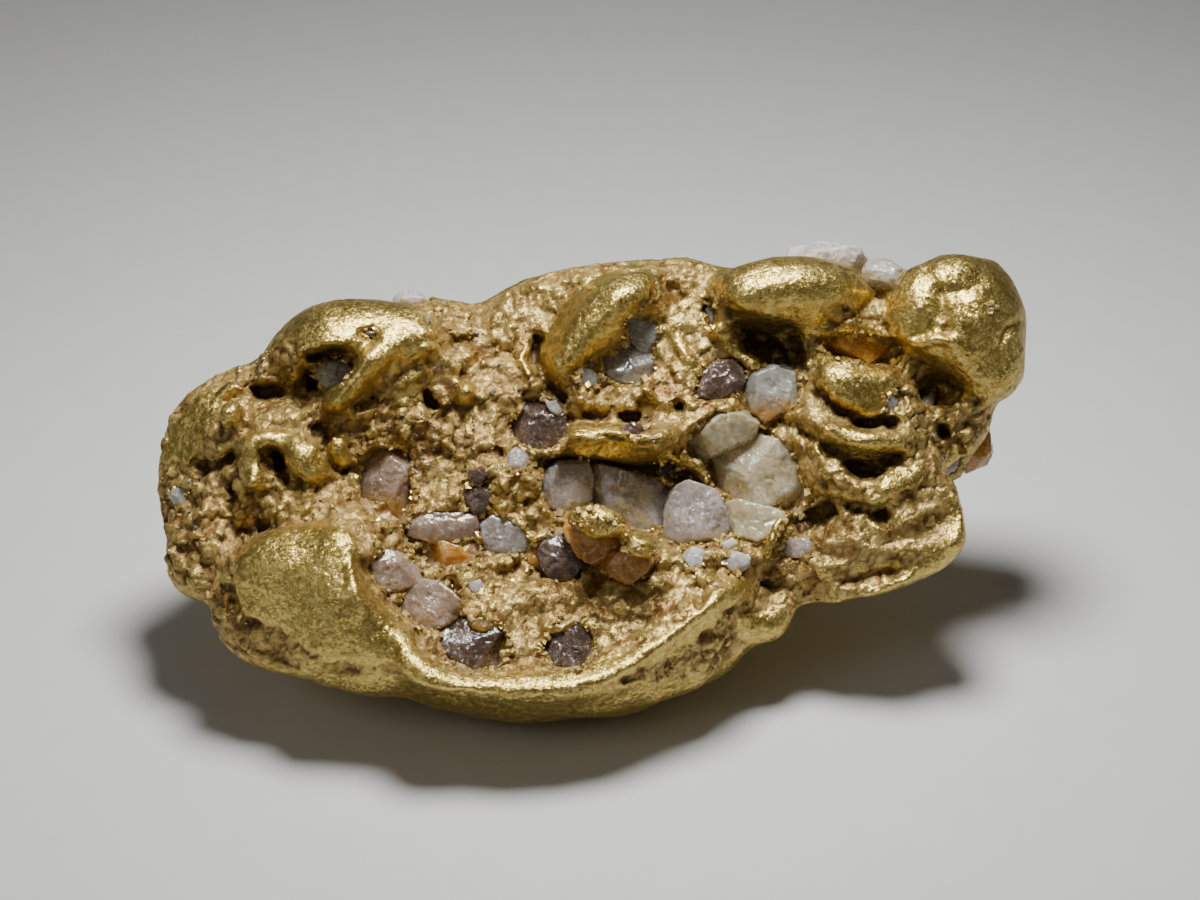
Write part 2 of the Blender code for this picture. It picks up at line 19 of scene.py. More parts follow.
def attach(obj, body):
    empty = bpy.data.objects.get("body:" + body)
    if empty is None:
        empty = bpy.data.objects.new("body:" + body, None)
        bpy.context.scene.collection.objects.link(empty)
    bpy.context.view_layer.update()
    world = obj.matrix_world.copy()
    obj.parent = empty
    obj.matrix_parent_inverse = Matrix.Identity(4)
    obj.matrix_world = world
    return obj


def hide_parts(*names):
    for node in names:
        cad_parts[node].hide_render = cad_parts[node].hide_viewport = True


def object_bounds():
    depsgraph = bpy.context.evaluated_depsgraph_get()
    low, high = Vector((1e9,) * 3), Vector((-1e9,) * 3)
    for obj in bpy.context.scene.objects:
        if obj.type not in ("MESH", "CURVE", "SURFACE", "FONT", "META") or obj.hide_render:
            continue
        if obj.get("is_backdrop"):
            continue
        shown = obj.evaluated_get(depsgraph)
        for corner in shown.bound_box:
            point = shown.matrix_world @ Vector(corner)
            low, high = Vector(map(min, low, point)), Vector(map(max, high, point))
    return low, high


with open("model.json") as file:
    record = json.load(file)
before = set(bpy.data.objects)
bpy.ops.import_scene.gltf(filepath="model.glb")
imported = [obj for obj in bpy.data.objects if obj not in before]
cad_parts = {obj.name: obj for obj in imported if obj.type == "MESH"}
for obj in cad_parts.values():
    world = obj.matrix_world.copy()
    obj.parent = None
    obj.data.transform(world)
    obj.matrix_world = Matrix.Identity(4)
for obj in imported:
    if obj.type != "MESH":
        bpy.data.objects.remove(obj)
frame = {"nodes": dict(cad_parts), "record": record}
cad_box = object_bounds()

MM = 0.001
print("the packed model's box, in mm:", [[round(side / MM, 2) for side in corner] for corner in cad_box])

# %% [markdown]
# ## Where things are
#
# The nugget's broad face leans back, and nearly everything that shows lies on it. So a place is given as
# (across, up, out) on that face, in millimetres, which reads like a place on a map of the nugget. Small
# features are given instead by the pixel where the camera sees them, as (x, y) from the picture's top left.

# %% The leaning face and the camera's picture
FACE_LEAN = math.radians(58.0)
FACE_MIDDLE = np.array([0.062, -0.027, 4.40])
FACE_AXES = np.array([
    [1.0, 0.0, 0.0],
    [0.0, math.cos(FACE_LEAN), math.sin(FACE_LEAN)],
    [0.0, -math.sin(FACE_LEAN), math.cos(FACE_LEAN)],
])
PICTURE_MIDDLE = np.array([600.0, 450.0])    # pixels, in a picture 1200 wide and 900 high
PIXELS_PER_MM = 54.0                         # at the face's middle, which is the middle of the picture
CAMERA_DISTANCE = 52.0                       # mm


def from_face(places):
    """Places on the face (across, up, out) -> the model's frame: middle + across*X + up*U + out*W."""
    return np.asarray(places, float) @ FACE_AXES + FACE_MIDDLE


def to_face(points):
    """The other way: the parts of (point - middle) along the face's three axes."""
    return (np.asarray(points, float) - FACE_MIDDLE) @ FACE_AXES.T


def in_picture(points):
    """The pixel where the camera sees a point: what is further away is drawn closer to the middle."""
    places = to_face(points)
    shrink = CAMERA_DISTANCE / (CAMERA_DISTANCE - places[:, 2:])
    return PICTURE_MIDDLE + PIXELS_PER_MM * places[:, :2] * shrink * [1.0, -1.0]


def sight_lines(pixels):
    """The direction in which the camera sees each pixel."""
    flat = (np.asarray(pixels, float).reshape(-1, 2) - PICTURE_MIDDLE) * [1.0, -1.0] / PIXELS_PER_MM
    ways = from_face(np.column_stack([flat, np.zeros(len(flat))])) - CAMERA_PLACE
    return ways / np.linalg.norm(ways, axis=1, keepdims=True)


CAMERA_PLACE = from_face((0.0, 0.0, CAMERA_DISTANCE))
print("the face's middle is", FACE_MIDDLE[2], "mm above the table; the camera is at", CAMERA_PLACE.round(1))

# %% [markdown]
# ## Meshes in and out of numpy
#
# A mesh is two arrays: points, one row each, and faces, three or four point numbers a row. Shapes are worked
# out on whole arrays, and only the finished arrays go into Blender.

# %% Mesh helpers


def mesh_of(points, faces, name="working"):
    """Makes a Blender mesh from arrays."""
    mesh = bpy.data.meshes.new(name)
    mesh.from_pydata(points.tolist(), [], faces.tolist())
    return mesh


def arrays_of(mesh):
    """Points and triangles of a Blender mesh, as arrays."""
    mesh.calc_loop_triangles()
    points = np.empty(len(mesh.vertices) * 3, np.float32)
    mesh.vertices.foreach_get("co", points)
    faces = np.empty(len(mesh.loop_triangles) * 3, np.int32)
    mesh.loop_triangles.foreach_get("vertices", faces)
    return points.reshape(-1, 3).astype(float), faces.reshape(-1, 3)


def node_arrays(name):
    """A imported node's points, in millimetres, and triangles, with its doubled points merged."""
    shape = bmesh.new()
    shape.from_mesh(frame["nodes"][name].data)
    bmesh.ops.remove_doubles(shape, verts=shape.verts, dist=1e-7)
    merged = bpy.data.meshes.new("merged")
    shape.to_mesh(merged)
    shape.free()
    points, faces = arrays_of(merged)
    bpy.data.meshes.remove(merged)
    return points / MM, faces


def stack(parts):
    """Several (points, faces) as one, with the point numbers shifted along."""
    starts = np.cumsum([0] + [len(points) for points, _ in parts[:-1]])
    points = np.concatenate([points for points, _ in parts])
    faces = np.concatenate([faces + start for (_, faces), start in zip(parts, starts)])
    return points, faces


def modified(points, faces, set_up):
    """The arrays of a mesh after the modifier that set_up gives to its object."""
    holder = bpy.data.objects.new("working", mesh_of(points, faces))
    bpy.context.scene.collection.objects.link(holder)
    set_up(holder)
    depsgraph = bpy.context.evaluated_depsgraph_get()
    mesh = bpy.data.meshes.new_from_object(holder.evaluated_get(depsgraph))
    bpy.data.objects.remove(holder)
    result = arrays_of(mesh)
    bpy.data.meshes.remove(mesh)
    return result


def fused(parts, voxel):
    """Overlapping closed shapes -> one skin, on a grid of this size."""
    def set_up(holder):
        remesh = holder.modifiers.new("fuse", "REMESH")
        remesh.mode = "VOXEL"
        remesh.voxel_size = voxel

    return modified(*stack(parts), set_up)


def normals_of(points, faces):
    """Each point's normal: the sum of its faces' normals, made one long."""
    a, b, c = (points[faces[:, i]] for i in range(3))
    face_normals = np.cross(b - a, c - a)
    total = np.zeros_like(points)
    for corner in range(3):
        for axis in range(3):
            total[:, axis] += np.bincount(faces[:, corner], face_normals[:, axis], len(points))
    return total / np.maximum(np.linalg.norm(total, axis=1, keepdims=True), 1e-12)


def edges_of(faces):
    """Each edge once, as two point numbers."""
    pairs = np.concatenate([faces[:, [0, 1]], faces[:, [1, 2]], faces[:, [2, 0]]])
    return np.unique(np.sort(pairs, axis=1), axis=0)


def relaxed(values, edges, rounds, share=0.5):
    """Moves each value towards its neighbours' mean by this share, so many times over."""
    values = np.array(values, float).reshape(len(values), -1)
    first, second = edges[:, 0], edges[:, 1]
    count = np.bincount(edges.ravel(), minlength=len(values))[:, None]
    lonely = count == 0
    count = np.maximum(count, 1)
    for _ in range(rounds):
        total = np.zeros_like(values)
        for axis in range(values.shape[1]):
            total[:, axis] = np.bincount(first, values[second, axis], len(values))
            total[:, axis] += np.bincount(second, values[first, axis], len(values))
        values += share * np.where(lonely, 0.0, total / count - values)
    return values


gold_points, gold_faces = node_arrays("gold")
print("packed gold:", len(gold_points), "points,", len(gold_faces), "triangles")

# %% [markdown]
# ## Uneven by rule
#
# Natural surfaces are uneven, but the same file must give the same nugget each time. So chance comes from
# hashing: the whole numbers of a lattice cell are mixed into a number that looks random and never changes.
# Blended between cells, these give soft noise. Used as scattered points, they give cells with edges between.

# %% Hashing and noise


def hashed(cells, salt):
    """Whole-number cells -> numbers from 0 to 1: multiply by odd primes, xor, shift and multiply again."""
    cells = cells.astype(np.int64)
    mixed = cells[..., 0] * 73856093 ^ cells[..., 1] * 19349663 ^ cells[..., 2] * 83492791 ^ salt * 2971215073
    mixed = mixed & 0xFFFFFFFF
    for shift in (15, 13, 16):
        mixed = ((mixed ^ (mixed >> shift)) * 2246822519) & 0xFFFFFFFF
    return (mixed ^ (mixed >> 14)) / 4294967296.0


def noise(points, size, salt=0):
    """Soft noise from -1 to 1: each lattice corner's hash, blended with t*t*(3-2t) along each axis."""
    scaled = points / size
    cell = np.floor(scaled)
    t = scaled - cell
    t = t * t * (3.0 - 2.0 * t)
    total = np.zeros(len(points))
    for corner in np.ndindex(2, 2, 2):
        weight = np.prod(np.where(np.array(corner) == 1, t, 1.0 - t), axis=1)
        total += weight * hashed(cell + corner, salt)
    return total * 2.0 - 1.0


OCTAVE_SUM = 1.6         # 1 + 1/2 + a little: keeps summed layers of noise from about -1 to 1
CREASE_FALL = 2.2        # how fast a ridge falls off, so that ridges average zero


def rough_noise(points, size, octaves, salt=0):
    """Noise summed at half the size and half the height each time."""
    layers = [noise(points, size / 2 ** i, salt + i) / 2 ** i for i in range(octaves)]
    return np.sum(layers, axis=0) / OCTAVE_SUM


def creased_noise(points, size, octaves, salt=0):
    """Ridges with sharp tops: 1 - fall * |noise|, summed like rough_noise."""
    layers = [(1.0 - CREASE_FALL * np.abs(noise(points, size / 2 ** i, salt + i))) / 2 ** i
              for i in range(octaves)]
    return np.sum(layers, axis=0) / OCTAVE_SUM


def noise_vector(points, size, salt):
    """Three soft noises, one for each axis."""
    return np.stack([noise(points, size, salt + axis) for axis in range(3)], axis=1)


def hashed_vector(cells, salt):
    """Three hashes of each cell."""
    return np.stack([hashed(cells, salt + axis) for axis in range(3)], axis=-1)


FAR_AWAY = 9.0           # further than any distance that is looked for
LEVEL_SPREAD = 1.2       # how far blocks differ in level, in block heights
CRACK_DEPTH = 0.8        # how far cracks go down, in block heights


def blocks(points, size, salt, crack=0.22, bulge=0.9):
    """Broken ground, about -1 to 1: each lattice cell holds one scattered point, and the ground near it is a
    block at its own level and slant, bulge*(0.3 - distance^2) higher in its middle. Also gives the cracks
    between blocks, from 0 to 1, and a tone for each block."""
    home = np.floor(points / size)
    nearest = np.full(len(points), FAR_AWAY)
    second = np.full(len(points), FAR_AWAY)
    level = np.zeros(len(points))
    tone = np.zeros(len(points))
    for step in np.ndindex(3, 3, 3):
        cells = home + np.array(step) - 1
        scattered = (cells + 0.1 + 0.8 * hashed_vector(cells, salt)) * size
        offset = (points - scattered) / size
        distance = np.linalg.norm(offset, axis=1)
        here_tone = hashed(cells, salt + 7)
        slant = hashed_vector(cells, salt + 11) - 0.5
        here = (here_tone - 0.5) * LEVEL_SPREAD + 2.0 * np.sum(slant * offset, axis=1)
        here += bulge * (0.3 - distance ** 2)
        closer = distance < nearest
        second = np.where(closer, nearest, np.minimum(second, distance))
        level = np.where(closer, here, level)
        tone = np.where(closer, here_tone, tone)
        nearest = np.where(closer, distance, nearest)
    cracks = 1.0 - ramp(second - nearest, 0.0, crack)
    return level - CRACK_DEPTH * cracks, cracks, tone


def ramp(values, low, high):
    """0 below low, 1 above high, and a smooth step between."""
    t = np.clip((values - low) / (high - low), 0.0, 1.0)
    return t * t * (3.0 - 2.0 * t)


print("noise at the face's middle:", noise(FACE_MIDDLE[None], 1.0).round(3))

# %% [markdown]
# ## The gold, first skin
#
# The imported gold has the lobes, the hollow and a pocket for each grain, but it shows its triangles. Fusing it
# on a fine grid gives even small faces, and relaxing them smooths the triangles away. The pockets on the face
# are closed over like a drum skin, because the broken quartz gets sharper outlines and new pockets below.

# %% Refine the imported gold
FIRST_VOXEL = 0.067      # mm
POCKET_REACH = 0.13      # mm from a grain, the skin that closes over its pocket
FLATTER_SPOTS = (((950, 266), 48.0), ((912, 305), 42.0), ((378, 366), 44.0))     # pixel, reach in pixels
LONGER_RIGHT = 0.12      # mm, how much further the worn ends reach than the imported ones
LONGER_LEFT = 0.28       # mm
QUARTZ = sorted(name for name in frame["nodes"] if name != "gold")
EDGE_GRAINS = ("quartz_top_crest", "quartz_top_patch", "quartz_top_left", "quartz_right_sliver",
               "quartz_right_white", "quartz_right_amber")
WIDEST_GRAIN = 2.2       # mm from a grain's middle, past which it is no neighbour


def hull_planes(name):
    """A convex node's planes: unit normals and distances from its middle, and that middle."""
    points, faces = node_arrays(name)
    middle = (points.min(0) + points.max(0)) / 2
    a, b, c = (points[faces[:, i]] - middle for i in range(3))
    normals = np.cross(b - a, c - a)
    area = np.linalg.norm(normals, axis=1)
    keep = area > 1e-4
    normals = normals[keep] / area[keep, None]
    return normals, np.sum(normals * a[keep], axis=1), middle


def outside_by(points, hull):
    """How far a point is outside a convex block: the largest of its distances beyond the planes."""
    normals, distances, middle = hull
    return np.max((points - middle) @ normals.T - distances, axis=1)


def nearest_block(points, hulls):
    """Distance from each point to the nearest of these blocks, negative inside."""
    nearest = np.full(len(points), FAR_AWAY)
    for hull in hulls:
        close = np.linalg.norm(points - hull[2], axis=1) < WIDEST_GRAIN
        nearest[close] = np.minimum(nearest[close], outside_by(points[close], hull))
    return nearest


HULLS = {name: hull_planes(name) for name in QUARTZ}
edge_hulls = [HULLS[name] for name in EDGE_GRAINS]
face_hulls = [HULLS[name] for name in QUARTZ if name not in EDGE_GRAINS]


def smoothed(points, edges, rounds, full_at, share=1.0):
    """Relaxes a skin, but not beside the grains of the edge: from 0.07 mm off them, and fully at full_at."""
    free = ramp(nearest_block(points, edge_hulls), 0.07, full_at)[:, None]
    return points + share * free * (relaxed(points, edges, rounds) - points)


skin, skin_faces = fused([(gold_points, gold_faces)], FIRST_VOXEL)
skin_edges = edges_of(skin_faces)
pocket = (nearest_block(skin, face_hulls) < POCKET_REACH)[:, None]
for _ in range(6):
    skin = np.where(pocket, relaxed(skin, skin_edges, 60, 0.9), skin)
skin = smoothed(skin, skin_edges, 14, 0.20)
skin, skin_faces = fused([(skin, skin_faces)], FIRST_VOXEL)
skin_edges = edges_of(skin_faces)
skin = smoothed(skin, skin_edges, 20, 0.30, 0.8)
flattened = relaxed(skin, skin_edges, 120)
for spot, reach in FLATTER_SPOTS:
    inside = ramp(np.linalg.norm(in_picture(skin) - spot, axis=1), reach, reach / 2)[:, None]
    skin = skin + inside * (flattened - skin)
skin[:, 0] += LONGER_RIGHT * ramp(skin[:, 0], 7.2, 8.0) - LONGER_LEFT * ramp(-skin[:, 0], 5.6, 7.7)
print("first skin:", len(skin), "points,", len(skin_faces), "triangles")

# %% [markdown]
# ## A map of the face
#
# Every later step asks what is at a spot: a polished lobe, a fold, a crack or a hole. All of them are drawn
# on the camera's picture as outlines and paths, and measured by their distance in pixels. The map is pushed
# about by noise before it is read, so that no edge is as even as it was drawn.

# %% Distances on the picture


def outline_distance(pixels, outline):
    """Distance to a closed outline, negative inside. A point is inside if a line from it crosses it oddly."""
    outline = np.asarray(outline, float)
    nearest = np.full(len(pixels), 1e9)
    inside = np.zeros(len(pixels), bool)
    for start, end in zip(outline, np.roll(outline, -1, axis=0)):
        leg = end - start
        t = np.clip((pixels - start) @ leg / (leg @ leg), 0.0, 1.0)
        nearest = np.minimum(nearest, np.linalg.norm(pixels - start - t[:, None] * leg, axis=1))
        level = (start[1] > pixels[:, 1]) != (end[1] > pixels[:, 1])
        rise = leg[1] if abs(leg[1]) > 1e-9 else 1e-9
        inside ^= level & (pixels[:, 0] < start[0] + (pixels[:, 1] - start[1]) / rise * leg[0])
    return np.where(inside, -nearest, nearest)


def path_distance(pixels, path):
    """Distance to the nearest point of a chain of straight legs."""
    path = np.asarray(path, float)
    nearest = np.full(len(pixels), 1e9)
    for start, end in zip(path[:-1], path[1:]):
        leg = end - start
        t = np.clip((pixels - start) @ leg / (leg @ leg), 0.0, 1.0)
        nearest = np.minimum(nearest, np.linalg.norm(pixels - start - t[:, None] * leg, axis=1))
    return nearest


def near(pixels, places, reach):
    """Which points lie within reach of a shape's own box."""
    places = np.asarray(places, float)
    low, high = places.min(0) - reach, places.max(0) + reach
    return np.all((pixels > low) & (pixels < high), axis=1)


def raise_near(values, pixels, shape, reach, distance_to, level):
    """Raises each value within reach of a drawn shape to level(its distance), where that is higher."""
    some = near(pixels, shape, reach)
    values[some] = np.maximum(values[some], level(distance_to(pixels[some], shape)))


def wavered(points, amount=2.2):
    """Each point's pixel, pushed about by soft noise: far at the scale of a crumb, less below it."""
    shift = np.stack([noise(points, 0.30, 61), noise(points, 0.30, 67)], axis=1) * amount
    shift += np.stack([noise(points, 0.11, 71), noise(points, 0.11, 73)], axis=1) * amount * 0.4
    return in_picture(points) + shift


def facing(points, faces, edges, rounds=30):
    """The part of the broad, smoothed normal that points out of the face, and the part that points up it."""
    broad = relaxed(normals_of(points, faces), edges, rounds)
    broad = broad / np.maximum(np.linalg.norm(broad, axis=1, keepdims=True), 1e-9) @ FACE_AXES.T
    return broad[:, 2], broad[:, 1]


print("the face's middle is at pixel", in_picture(FACE_MIDDLE[None])[0].round(1))

# %% Polished lobes
LOBES = {
    "dome": [(262, 352), (290, 316), (330, 298), (370, 290), (410, 300), (428, 325), (424, 350), (402, 360),
             (378, 370), (360, 358), (345, 346), (318, 348), (300, 342), (280, 342)],
    "middle_lobe": [(655, 272), (642, 300), (622, 325), (600, 352), (566, 380), (547, 385), (537, 362),
                    (541, 340), (552, 318), (575, 290), (600, 272), (630, 266)],
    "right_lobe": [(715, 268), (740, 253), (790, 246), (840, 250), (862, 262), (880, 290), (860, 305),
                   (820, 312), (780, 320), (745, 308), (722, 296), (712, 282)],
    "plate": [(884, 262), (905, 258), (932, 275), (941, 300), (944, 328), (905, 349), (885, 320)],
    "knob": [(905, 245), (940, 238), (990, 246), (1024, 285), (1034, 330), (1024, 385), (960, 402),
             (950, 345), (948, 300), (932, 272)],
    "loaf": [(815, 350), (850, 352), (890, 365), (903, 383), (880, 414), (845, 410), (820, 385)],
    "second_step": [(825, 432), (850, 425), (890, 436), (903, 446), (890, 456), (850, 456), (830, 446)],
    "flap": [(258, 534), (290, 525), (330, 520), (352, 532), (364, 560), (366, 600), (400, 630), (420, 668),
             (330, 660), (240, 610), (230, 565)],
    "bead": [(572, 512), (600, 508), (628, 520), (624, 538), (604, 536), (580, 526)],
    "bead_right": [(624, 534), (645, 540), (656, 552), (648, 556), (628, 550)],
    "left_shoulder": [(160, 462), (172, 425), (196, 398), (228, 380), (240, 388), (216, 402), (204, 432),
                      (190, 458), (172, 470)],
    "right_edge": [(940, 498), (972, 492), (980, 520), (960, 556), (905, 600), (850, 625), (856, 600),
                   (906, 572), (940, 545), (952, 520)],
    "low_lump": [(738, 618), (770, 612), (808, 612), (800, 628), (760, 645), (740, 638)],
    "bright_flake": [(456, 384), (468, 380), (474, 392), (472, 404), (460, 402)],
}
FOLD_PATHS = {
    "tongue": [(400, 330), (388, 344), (374, 360), (359, 379), (345, 394), (339, 400)],
    "arch_leg": [(246, 448), (249, 462), (256, 478)],
    "arch": [(252, 443), (270, 438), (288, 441)],
    "arch_lump": [(298, 450), (308, 459), (314, 466)],
    "arch_stub": [(338, 444), (341, 458)],
    "pillar": [(233, 408), (233, 427)],
    "flake": [(464, 388), (466, 397)],
    "slope": [(712, 326), (728, 338), (742, 356), (757, 366)],
    "slope_left": [(672, 330), (684, 352), (700, 372)],
    "shoulder": [(541, 331), (528, 343), (521, 358), (528, 372)],
    "shoulder_end": [(528, 343), (521, 358), (528, 372)],
    "ledge": [(550, 438), (575, 434), (605, 431), (635, 437), (652, 442)],
    "ledge_top": [(552, 434), (580, 430), (610, 427), (640, 433)],
    "second_step": [(828, 432), (848, 440), (872, 440), (897, 443)],
    "strip": [(907, 349), (922, 341), (938, 337), (949, 343)],
    "bead": [(586, 517), (600, 518), (614, 525)],
    "bead_right": [(631, 540), (645, 549)],
    "flap_lip": [(352, 568), (362, 596), (380, 616), (402, 638), (412, 662)],
    "rim": [(412, 668), (450, 678), (500, 682), (560, 682), (600, 670), (640, 648), (676, 624), (704, 600),
            (716, 588)],
    "hollow_lip": [(345, 560), (358, 590), (378, 612), (402, 636), (410, 664), (440, 680), (500, 684),
                   (560, 684), (620, 668), (670, 645), (700, 622), (722, 596), (742, 592)],
    "rib": [(503, 514), (516, 526), (527, 541), (541, 538)],
    "wire": [(783, 518), (774, 526), (770, 541), (766, 556)],
    "flange": [(868, 596), (886, 588), (906, 580)],
    "flange_lip": [(866, 596), (884, 588), (906, 579)],
    "rim_end": [(700, 596), (712, 588), (728, 586), (740, 593)],
    "right_lip": [(958, 499), (968, 509), (966, 527), (955, 545)],
    "low_step": [(888, 487), (900, 481), (914, 477)],
}
# Half width in pixels of the polished strip along a fold.
POLISHED_FOLDS = {
    "tongue": 16, "arch_leg": 12, "arch": 11, "arch_lump": 17, "arch_stub": 11, "slope": 8, "slope_left": 7,
    "shoulder_end": 5, "right_lip": 10, "low_step": 11, "strip": 6, "ledge_top": 7, "hollow_lip": 12,
    "rib": 5, "wire": 7, "flange_lip": 6,
}


def worn_map(points, faces, edges):
    """1 where water has polished the gold, 0 where it is rough."""
    out, up = facing(points, faces, edges)
    worn = 1.0 - ramp(out, 0.02, 0.30)
    worn = np.maximum(worn, ramp(-up, 0.50, 0.70))
    worn = np.maximum(worn, ramp(-to_face(points)[:, 2], 2.6, 3.4))
    pixels = wavered(points, 4.0)
    for outline in LOBES.values():
        raise_near(worn, pixels, outline, 12, outline_distance, lambda distance: ramp(-distance, -4.0, 3.0))
    for name, width in POLISHED_FOLDS.items():
        raise_near(worn, pixels, FOLD_PATHS[name], 20, path_distance,
                   lambda distance: ramp(width - distance, -2.0, 3.0))
    return worn


skin_worn = worn_map(skin, skin_faces, skin_edges)
print("share of the gold that is worn smooth:", round(float(skin_worn.mean()), 2))

# %% [markdown]
# ## Folds, cracks and holes
#
# Between the lobes the gold runs in folds and steps with dark gaps under them. Each is a path or an outline
# with a height: a fold is a rounded rise across its path, a crack a sharp dip, and a hole has steep walls.
# All are added up and move the skin in or out along the face's normal, which keeps the walls steep.

# %% Draw the relief
# Round folds are half-round bars: half width in pixels, height in mm, and over how many pixels it rises from
# nothing at its first point, if it does.
ROUND_FOLDS = {
    "arch_leg": (14, 0.22, 0), "arch": (12, 0.22, 0), "arch_lump": (20, 0.32, 0), "arch_stub": (12, 0.26, 0),
    "pillar": (12, 0.12, 0), "flake": (10, 0.10, 0), "slope": (8, 0.14, 0), "shoulder": (6, 0.13, 0),
    "ledge": (13, 0.26, 0), "second_step": (12, 0.24, 0), "strip": (7, 0.14, 0), "bead": (17, 0.36, 0),
    "bead_right": (13, 0.26, 0), "flap_lip": (10, 0.12, 0), "rim": (16, 0.24, 0), "rib": (5, 0.10, 0),
    "wire": (6, 0.20, 0), "flange": (7, 0.14, 0), "rim_end": (9, 0.12, 0), "right_lip": (10, 0.12, 0),
    "low_step": (14, 0.18, 0), "tongue": (14, 0.42, 46),
}
# Soft folds and cracks: path, half width in pixels, height or depth in mm.
FOLDS = [
    ([(938, 264), (966, 262)], 25, 0.15),
    ([(628, 290), (602, 325), (572, 358)], 32, 0.16),
    ([(300, 350), (320, 345), (340, 342), (357, 349)], 7, 0.08),
    ([(262, 351), (282, 338), (300, 338)], 7, 0.10),
    ([(268, 350), (262, 365), (264, 380)], 6, 0.14),
    ([(283, 346), (292, 362), (296, 380)], 6, 0.14),
    ([(300, 350), (314, 364), (322, 380), (330, 392)], 4, 0.14),
    ([(256, 452), (264, 466), (256, 482), (248, 494)], 8, 0.14),
    ([(190, 482), (205, 490), (207, 505), (198, 520), (186, 530)], 11, 0.15),
    ([(222, 390), (234, 386), (246, 392)], 7, 0.12),
    ([(252, 412), (272, 415), (294, 415)], 11, 0.12),
    ([(500, 360), (518, 372), (538, 384), (552, 399)], 6, 0.12),
    ([(425, 332), (440, 326), (458, 330), (474, 332)], 5, 0.10),
    ([(430, 350), (446, 356), (452, 368)], 6, 0.10),
    ([(464, 350), (472, 356), (476, 350)], 5, 0.12),
    ([(648, 300), (662, 318), (684, 322)], 4.5, 0.10),
    ([(672, 330), (684, 352), (700, 372)], 6, 0.10),
    ([(655, 345), (664, 362), (676, 380)], 5, 0.10),
    ([(604, 372), (616, 384), (634, 388), (652, 384)], 7, 0.14),
    ([(655, 441), (680, 433), (700, 421), (728, 409)], 10, 0.20),
    ([(560, 410), (572, 402), (590, 396), (612, 400)], 6, 0.12),
    ([(640, 396), (660, 401), (690, 404), (712, 399), (735, 386)], 7, 0.14),
    ([(786, 412), (806, 419), (828, 429)], 6, 0.16),
    ([(780, 441), (800, 447), (826, 455), (845, 466)], 6, 0.15),
    ([(772, 436), (786, 452), (798, 466), (812, 478)], 4, 0.12),
    ([(806, 462), (824, 471), (838, 479), (856, 489), (872, 499)], 8, 0.18),
    ([(832, 505), (842, 507), (845, 515)], 5, 0.14),
    ([(866, 512), (872, 520), (880, 530)], 5, 0.12),
    ([(884, 374), (900, 384), (912, 396), (914, 412)], 8, 0.12),
    ([(916, 386), (930, 390), (932, 404)], 8, 0.14),
    ([(930, 470), (940, 484), (952, 494)], 9, 0.14),
    ([(896, 520), (918, 516), (938, 508)], 8, 0.12),
    ([(830, 541), (860, 546), (890, 551), (920, 549)], 9, 0.12),
    ([(800, 561), (830, 567), (860, 563)], 7, 0.08),
    ([(524, 470), (536, 486), (544, 500)], 6, 0.08),
    ([(480, 560), (494, 558), (506, 566)], 8, 0.12),
    ([(330, 402), (350, 412), (372, 414)], 7, 0.08),
    ([(975, 442), (986, 430), (996, 418)], 8, 0.14),
]
